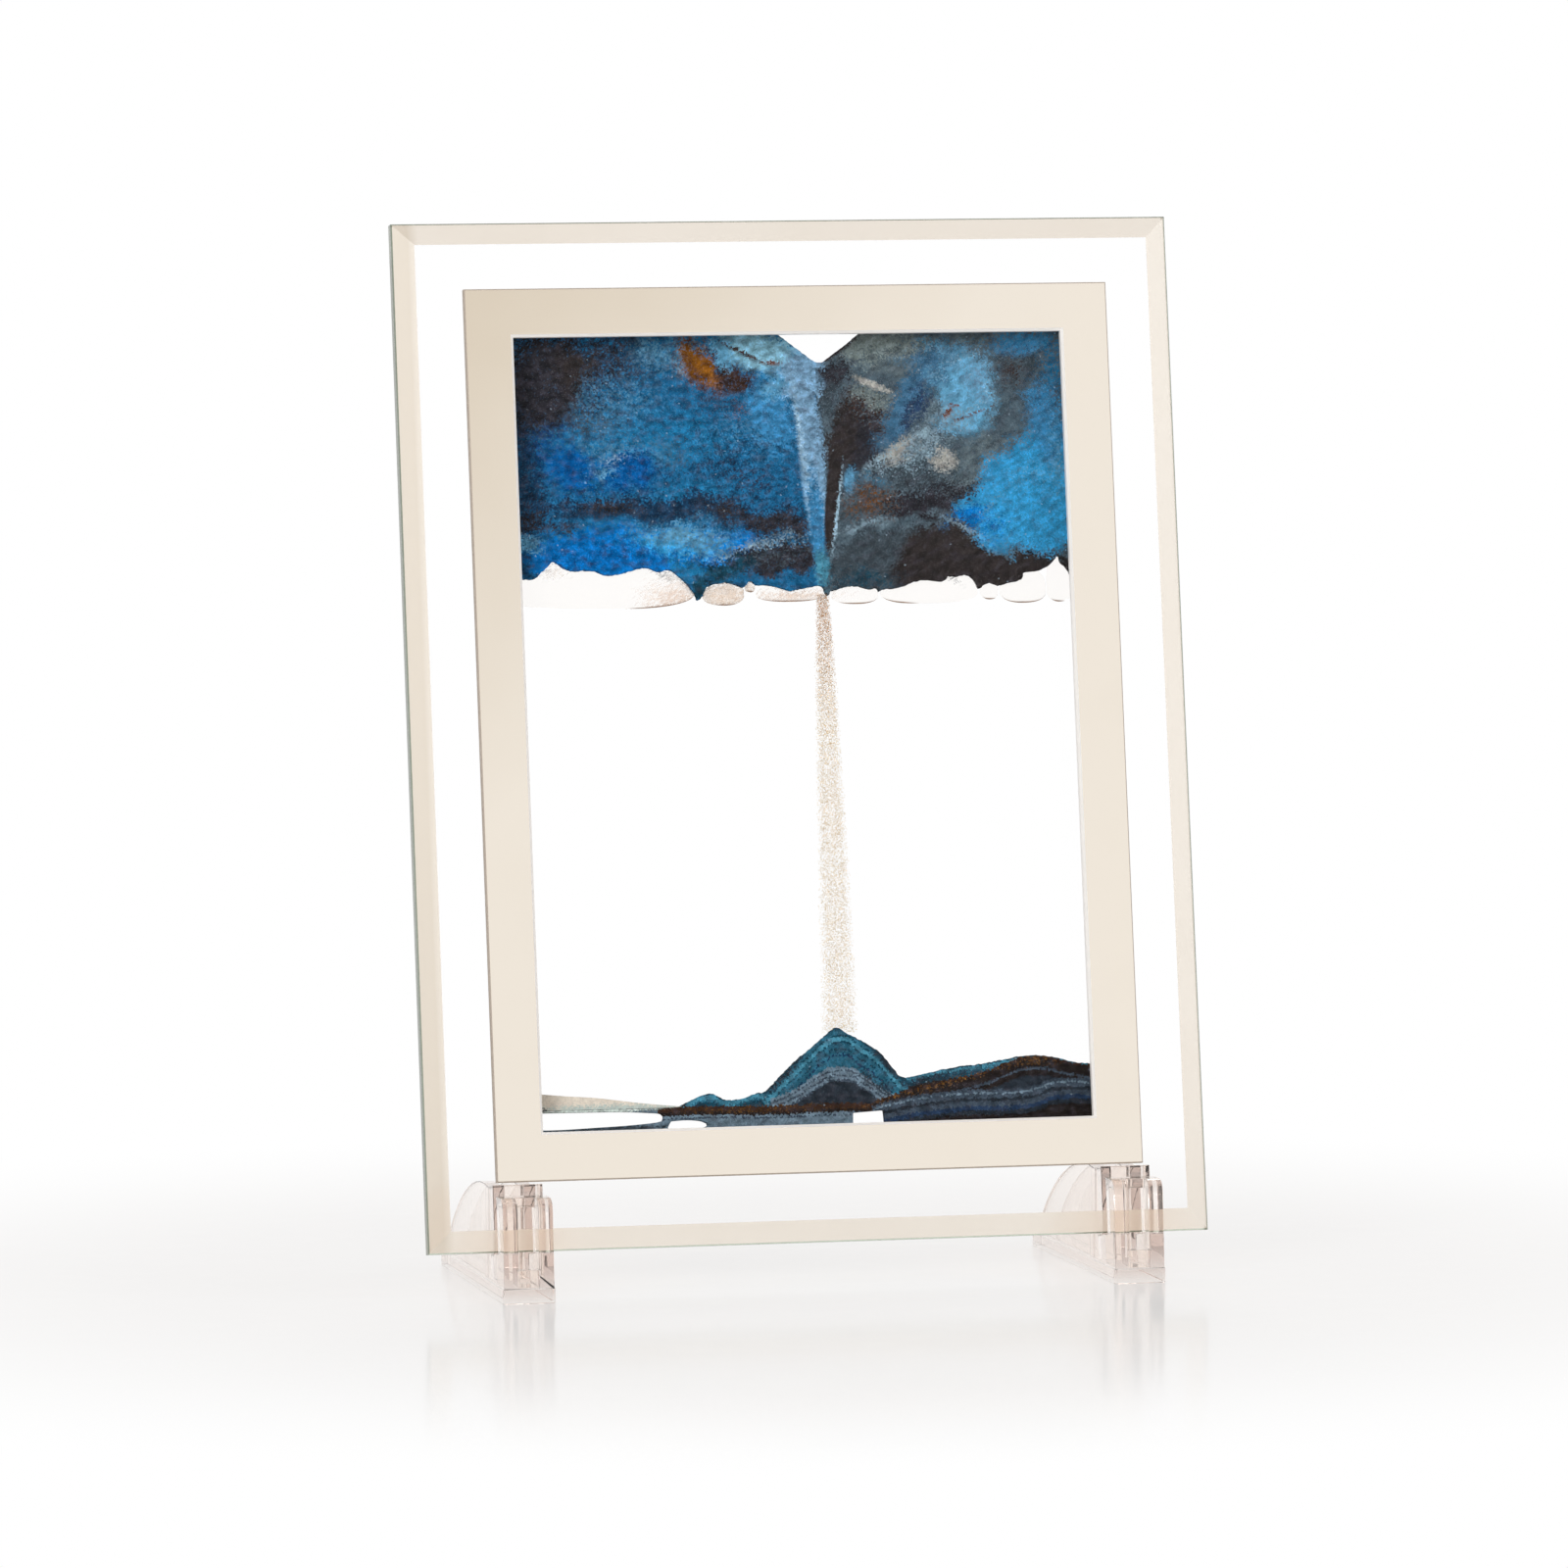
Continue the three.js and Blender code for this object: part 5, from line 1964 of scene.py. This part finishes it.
    def pocket_body(self, pocket: Pocket, underside: Sequence[Point]) -> tuple[list[Vector], list[Face]]:
        """Makes a flattened pocket that fills the space under the sand.

        Args:
            pocket: the pocket.
            underside: the sand's lower edge.

        Returns:
            Points and faces of its skin.
        """
        columns = max(self.fewest_columns, round((pocket.right - pocket.left) / self.pocket_column))
        rows = self.pocket_rows
        middle = (SAND_FRONT + SAND_BACK) / 2
        reach = (SAND_BACK - SAND_FRONT) / 2 - self.pocket_skin
        centre = (pocket.left + pocket.right) / 2
        half = (pocket.right - pocket.left) / 2
        points: list[Vector] = []
        for side in (-1, 1):
            for i in range(columns + 1):
                u = math.sin(math.pi * (i / columns - 0.5))
                x = centre + half * u
                full = self.swell(u)
                low = pocket.waist - pocket.drop * full
                top = min(pocket.waist + pocket.rise * full, height_on(underside, x) - self.pocket_skin)
                top = max(top, low)
                for k in range(rows + 1):
                    v = 0.5 - 0.5 * math.cos(math.pi * k / rows)
                    # Full almost to its rim, where front and back meet in a soft edge
                    bulge = math.sqrt(max(0.0, 1 - abs(2 * v - 1) ** 4) * max(0.0, 1 - abs(u) ** 8))
                    points.append(Vector((x, middle + side * reach * bulge, low + (top - low) * v)))
        faces: list[Face] = []
        sheet = (columns + 1) * (rows + 1)
        for side in (0, 1):
            for i in range(columns):
                for k in range(rows):
                    a = side * sheet + i * (rows + 1) + k
                    faces.append((a, a + 1, a + rows + 2, a + rows + 1))
        return points, faces

    def pocket_line(self, pocket: Pocket) -> tuple[list[Vector], list[Face]]:
        """Makes the brown thread under a pocket: partly silt, partly painted shade of its rim.

        Args:
            pocket: the pocket.

        Returns:
            Points and faces of a thin tapered thread.
        """
        start, end = pocket.silt
        steps = max(self.fewest_steps, round((end - start) / self.thread_step))
        sides = self.thread_sides
        centre = (pocket.left + pocket.right) / 2
        half = (pocket.right - pocket.left) / 2
        depth = SAND_FRONT + self.thread_depth
        thin, thick = self.thread_r
        points: list[Vector] = []
        for i in range(steps + 1):
            share = i / steps
            x = start + (end - start) * share
            radius = thin + (thick - thin) * math.sin(math.pi * share)
            z = pocket.waist - pocket.drop * self.swell((x - centre) / half)
            for k in range(sides):
                turn = 2 * math.pi * k / sides
                points.append(
                    Vector((x, depth + radius * math.cos(turn), z + radius * math.sin(turn)))
                )
        faces: list[Face] = [tuple(reversed(range(sides))), tuple(steps * sides + k for k in range(sides))]
        for i in range(steps):
            for k in range(sides):
                a, b = i * sides + k, i * sides + (k + 1) % sides
                faces.append((a, b, b + sides, a + sides))
        return points, faces

    def liquid(self) -> bpy.types.Object:
        """Makes the body of liquid that everything else lies in.

        Returns:
            The liquid.
        """
        side = FILL_HALF + self.liquid_over
        floor = CELL_FLOOR - self.liquid_over
        roof = CELL_ROOF + self.liquid_over
        outline = [(-side, floor), (side, floor), (side, roof), (-side, roof)]
        points, faces = slab([outline], SAND_FRONT - self.liquid_film, SAND_BACK + self.liquid_film)
        body = make_piece("liquid_body", points, faces, (CarrierLiquid(),))
        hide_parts("liquid", "notch_liquid")
        return body


@dataclass
class CellBack:
    """What closes the cell: back glass, back border, spacer, sealant and stopper."""

    nodes: Mapping[str, bpy.types.Object]

    def dress(self) -> None:
        """Gives each solid its finish."""
        finishes: dict[str, Finish] = {
            "back_glass": FloatGlass(),
            "back_border": ChampagneMirror(),
            "spacer_gasket": CuredSilicone("pale_silicone_gasket", "fbf9f5", "f1eee8", 2.0),
            "edge_sealant": CuredSilicone(),
            "fill_plug": CuredSilicone("stopper_silicone", "8f8a84", "77726c", 1.2),
        }
        for name, finish in finishes.items():
            give_finish(self.nodes[name], finish)
        self.cut_edges(self.nodes["back_glass"])

    @staticmethod
    def cut_edges(sheet: bpy.types.Object) -> None:
        """Gives a sheet of glass grey-green cut edges all round.

        Args:
            sheet: the sheet, whose two faces look forward and back.
        """
        sheet.data.materials.append(CutGlassEdge().material())
        for face in sheet.data.polygons:
            face.material_index = 1 if abs(face.normal.y) < 0.5 else 0


def give_finish(piece: bpy.types.Object, finish: Finish) -> None:
    """Replaces all of a piece's materials by one finish.

    Args:
        piece: the piece.
        finish: the finish.
    """
    piece.data.materials.clear()
    piece.data.materials.append(finish.material())
    LOG.info("%s: %s", piece.name, finish.name)


@dataclass
class ClearFoot:
    """One moulded foot: the solid keeps its shape and gets rounded mould edges.

    The rounding in mm stays under half the narrowest ledge, so that no two roundings meet. Angles are
    in degrees.
    """

    solid: bpy.types.Object
    edge_round: float = 0.14
    edge_steps: int = 3
    edge_angle: float = 35.0
    flat_angle: float = 1.0
    same_point: float = 0.01

    def dress(self) -> None:
        """Joins the solid's facets into clean faces, rounds its edges and makes it clear."""
        weld = self.solid.modifiers.new("joined_facets", "WELD")
        weld.merge_threshold = self.same_point * MM
        flat = self.solid.modifiers.new("flat_faces", "DECIMATE")
        flat.decimate_type = "DISSOLVE"
        flat.angle_limit = math.radians(self.flat_angle)
        edges = self.solid.modifiers.new("mould_edges", "BEVEL")
        edges.width = self.edge_round * MM
        edges.segments = self.edge_steps
        edges.use_clamp_overlap = False
        edges.limit_method = "ANGLE"
        edges.angle_limit = math.radians(self.edge_angle)
        give_finish(self.solid, ClearAcrylic())


@dataclass(frozen=True)
class Lamp:
    """One soft box: where it stands and its side, in metres, and its power in watts."""

    name: str
    place: tuple[float, float, float]
    side: float
    watts: float


@dataclass
class Studio:
    """White table, soft light and the camera at the photograph's place.

    The lens, its sensor and the eye are in mm, the camera's turns in degrees, the floor and the lamps'
    aim in metres. The ceiling dims and the flags close in between two heights and two widths of the
    surroundings, seen as a ball of radius 1.
    """

    lens: float = 221.13
    yaw: float = 12.085
    pitch: float = 3.852
    roll: float = -0.47
    eye: tuple[float, float, float] = (-459.8, -2141.45, 259.7)
    sensor: float = 36.0
    ambient: float = 0.55
    ceiling: str = "a08a80"
    ceiling_from: float = 0.5
    ceiling_to: float = 0.8
    flags: str = "8a727a"
    flags_from: float = 0.55
    flags_to: float = 0.8
    floor_half: float = 12.0
    aim: tuple[float, float, float] = (0.0, 0.0, 0.12)
    lamps: tuple[Lamp, ...] = (
        Lamp("key_box", (-1.6, -2.1, 1.15), 1.3, 32.0),
        Lamp("fill_box", (1.9, -1.3, 1.0), 1.3, 14.0),
        Lamp("back_box", (0.4, 1.9, 1.6), 1.3, 16.0),
    )

    def build(self) -> None:
        """Makes the camera, the surroundings, the lamps and the table."""
        self.camera()
        self.surroundings()
        for lamp in self.lamps:
            self.soft_box(lamp)
        self.table()

    def camera(self) -> None:
        """Stands the camera where the photograph was taken from."""
        yaw, pitch, roll = (math.radians(a) for a in (self.yaw, self.pitch, self.roll))
        ahead = Vector(
            (math.sin(yaw) * math.cos(pitch), math.cos(yaw) * math.cos(pitch), -math.sin(pitch))
        )
        level = Vector((math.cos(yaw), -math.sin(yaw), 0.0))
        above = level.cross(ahead)
        right = level * math.cos(roll) + above * math.sin(roll)
        up = above * math.cos(roll) - level * math.sin(roll)
        data = bpy.data.cameras.new("camera")
        data.sensor_width = self.sensor
        data.lens = self.lens
        camera = bpy.data.objects.new("camera", data)
        bpy.context.scene.collection.objects.link(camera)
        turn = Matrix((right, up, -ahead)).transposed().to_4x4()
        camera.matrix_world = Matrix.Translation(Vector(self.eye) * MM) @ turn
        bpy.context.scene.camera = camera

    def surroundings(self) -> None:
        """Makes a white studio with a dim ceiling and, for clear pieces, a dark flag at each side.

        As light on the object it is dimmer than the white that is seen, mirrored or looked at through glass.
        """
        world = bpy.data.worlds.new("white_studio")
        world.use_nodes = True
        tree = world.node_tree
        tree.nodes.clear()
        strength = add_node(
            tree, "ShaderNodeMapRange",
            {"To Min": self.ambient, "To Max": 1.0},
            {"Value": seen_ray(tree)},
        )
        place = add_node(tree, "ShaderNodeTexCoord")
        split = add_node(tree, "ShaderNodeSeparateXYZ", None, {0: place.outputs["Generated"]})
        height = add_node(
            tree, "ShaderNodeMapRange",
            {
                "interpolation_type": "SMOOTHSTEP",
                "From Min": self.ceiling_from,
                "From Max": self.ceiling_to,
            },
            {"Value": split.outputs["Z"]},
        )
        colour = add_node(
            tree, "ShaderNodeMix",
            {"data_type": "RGBA", 6: (1.0, 1.0, 1.0, 1.0), 7: linear(self.ceiling)},
            {0: height.outputs[0]},
        )
        beside = add_node(tree, "ShaderNodeMath", {"operation": "ABSOLUTE"}, {0: split.outputs["X"]})
        flagged = add_node(
            tree, "ShaderNodeMapRange",
            {
                "interpolation_type": "SMOOTHSTEP",
                "From Min": self.flags_from,
                "From Max": self.flags_to,
            },
            {"Value": beside.outputs[0]},
        )
        path = add_node(tree, "ShaderNodeLightPath")
        through = add_node(
            tree, "ShaderNodeMath",
            {"operation": "MULTIPLY"},
            {0: flagged.outputs[0], 1: path.outputs["Is Transmission Ray"]},
        )
        around = add_node(
            tree, "ShaderNodeMix",
            {"data_type": "RGBA", 7: linear(self.flags)},
            {0: through.outputs[0], 6: colour.outputs[2]},
        )
        sky = add_node(
            tree, "ShaderNodeBackground",
            None,
            {"Color": around.outputs[2], "Strength": strength.outputs[0]},
        )
        add_node(tree, "ShaderNodeOutputWorld", None, {"Surface": sky.outputs[0]})
        bpy.context.scene.world = world

    def soft_box(self, lamp: Lamp) -> None:
        """Hangs one soft box.

        Args:
            lamp: the soft box.
        """
        data = bpy.data.lights.new(lamp.name, "AREA")
        data.size = lamp.side
        data.energy = lamp.watts
        box = bpy.data.objects.new(lamp.name, data)
        bpy.context.scene.collection.objects.link(box)
        place = Vector(lamp.place)
        turn = (Vector(self.aim) - place).to_track_quat("-Z", "Y").to_matrix().to_4x4()
        box.matrix_world = Matrix.Translation(place) @ turn

    def table(self) -> None:
        """Lays the white table top under the feet."""
        side = self.floor_half
        mesh = bpy.data.meshes.new("table_top")
        mesh.from_pydata(
            [(-side, -side, 0), (side, -side, 0), (side, side, 0), (-side, side, 0)], [], [(0, 1, 2, 3)]
        )
        mesh.materials.append(StudioFloor().material())
        table = bpy.data.objects.new("table_top", mesh)
        bpy.context.scene.collection.objects.link(table)


def main() -> None:
    """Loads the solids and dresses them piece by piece."""
    logging.basicConfig(level=logging.INFO, format="%(message)s")
    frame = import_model()
    bpy.context.scene.view_settings.view_transform = "Standard"
    Studio().build()
    BevelledPane().build()
    MirrorBorder().build()
    SandCell().build()
    CellBack(frame["nodes"]).dress()
    for name in ("left_foot", "right_foot"):
        ClearFoot(frame["nodes"][name]).dress()


if __name__ == "__main__":
    main()
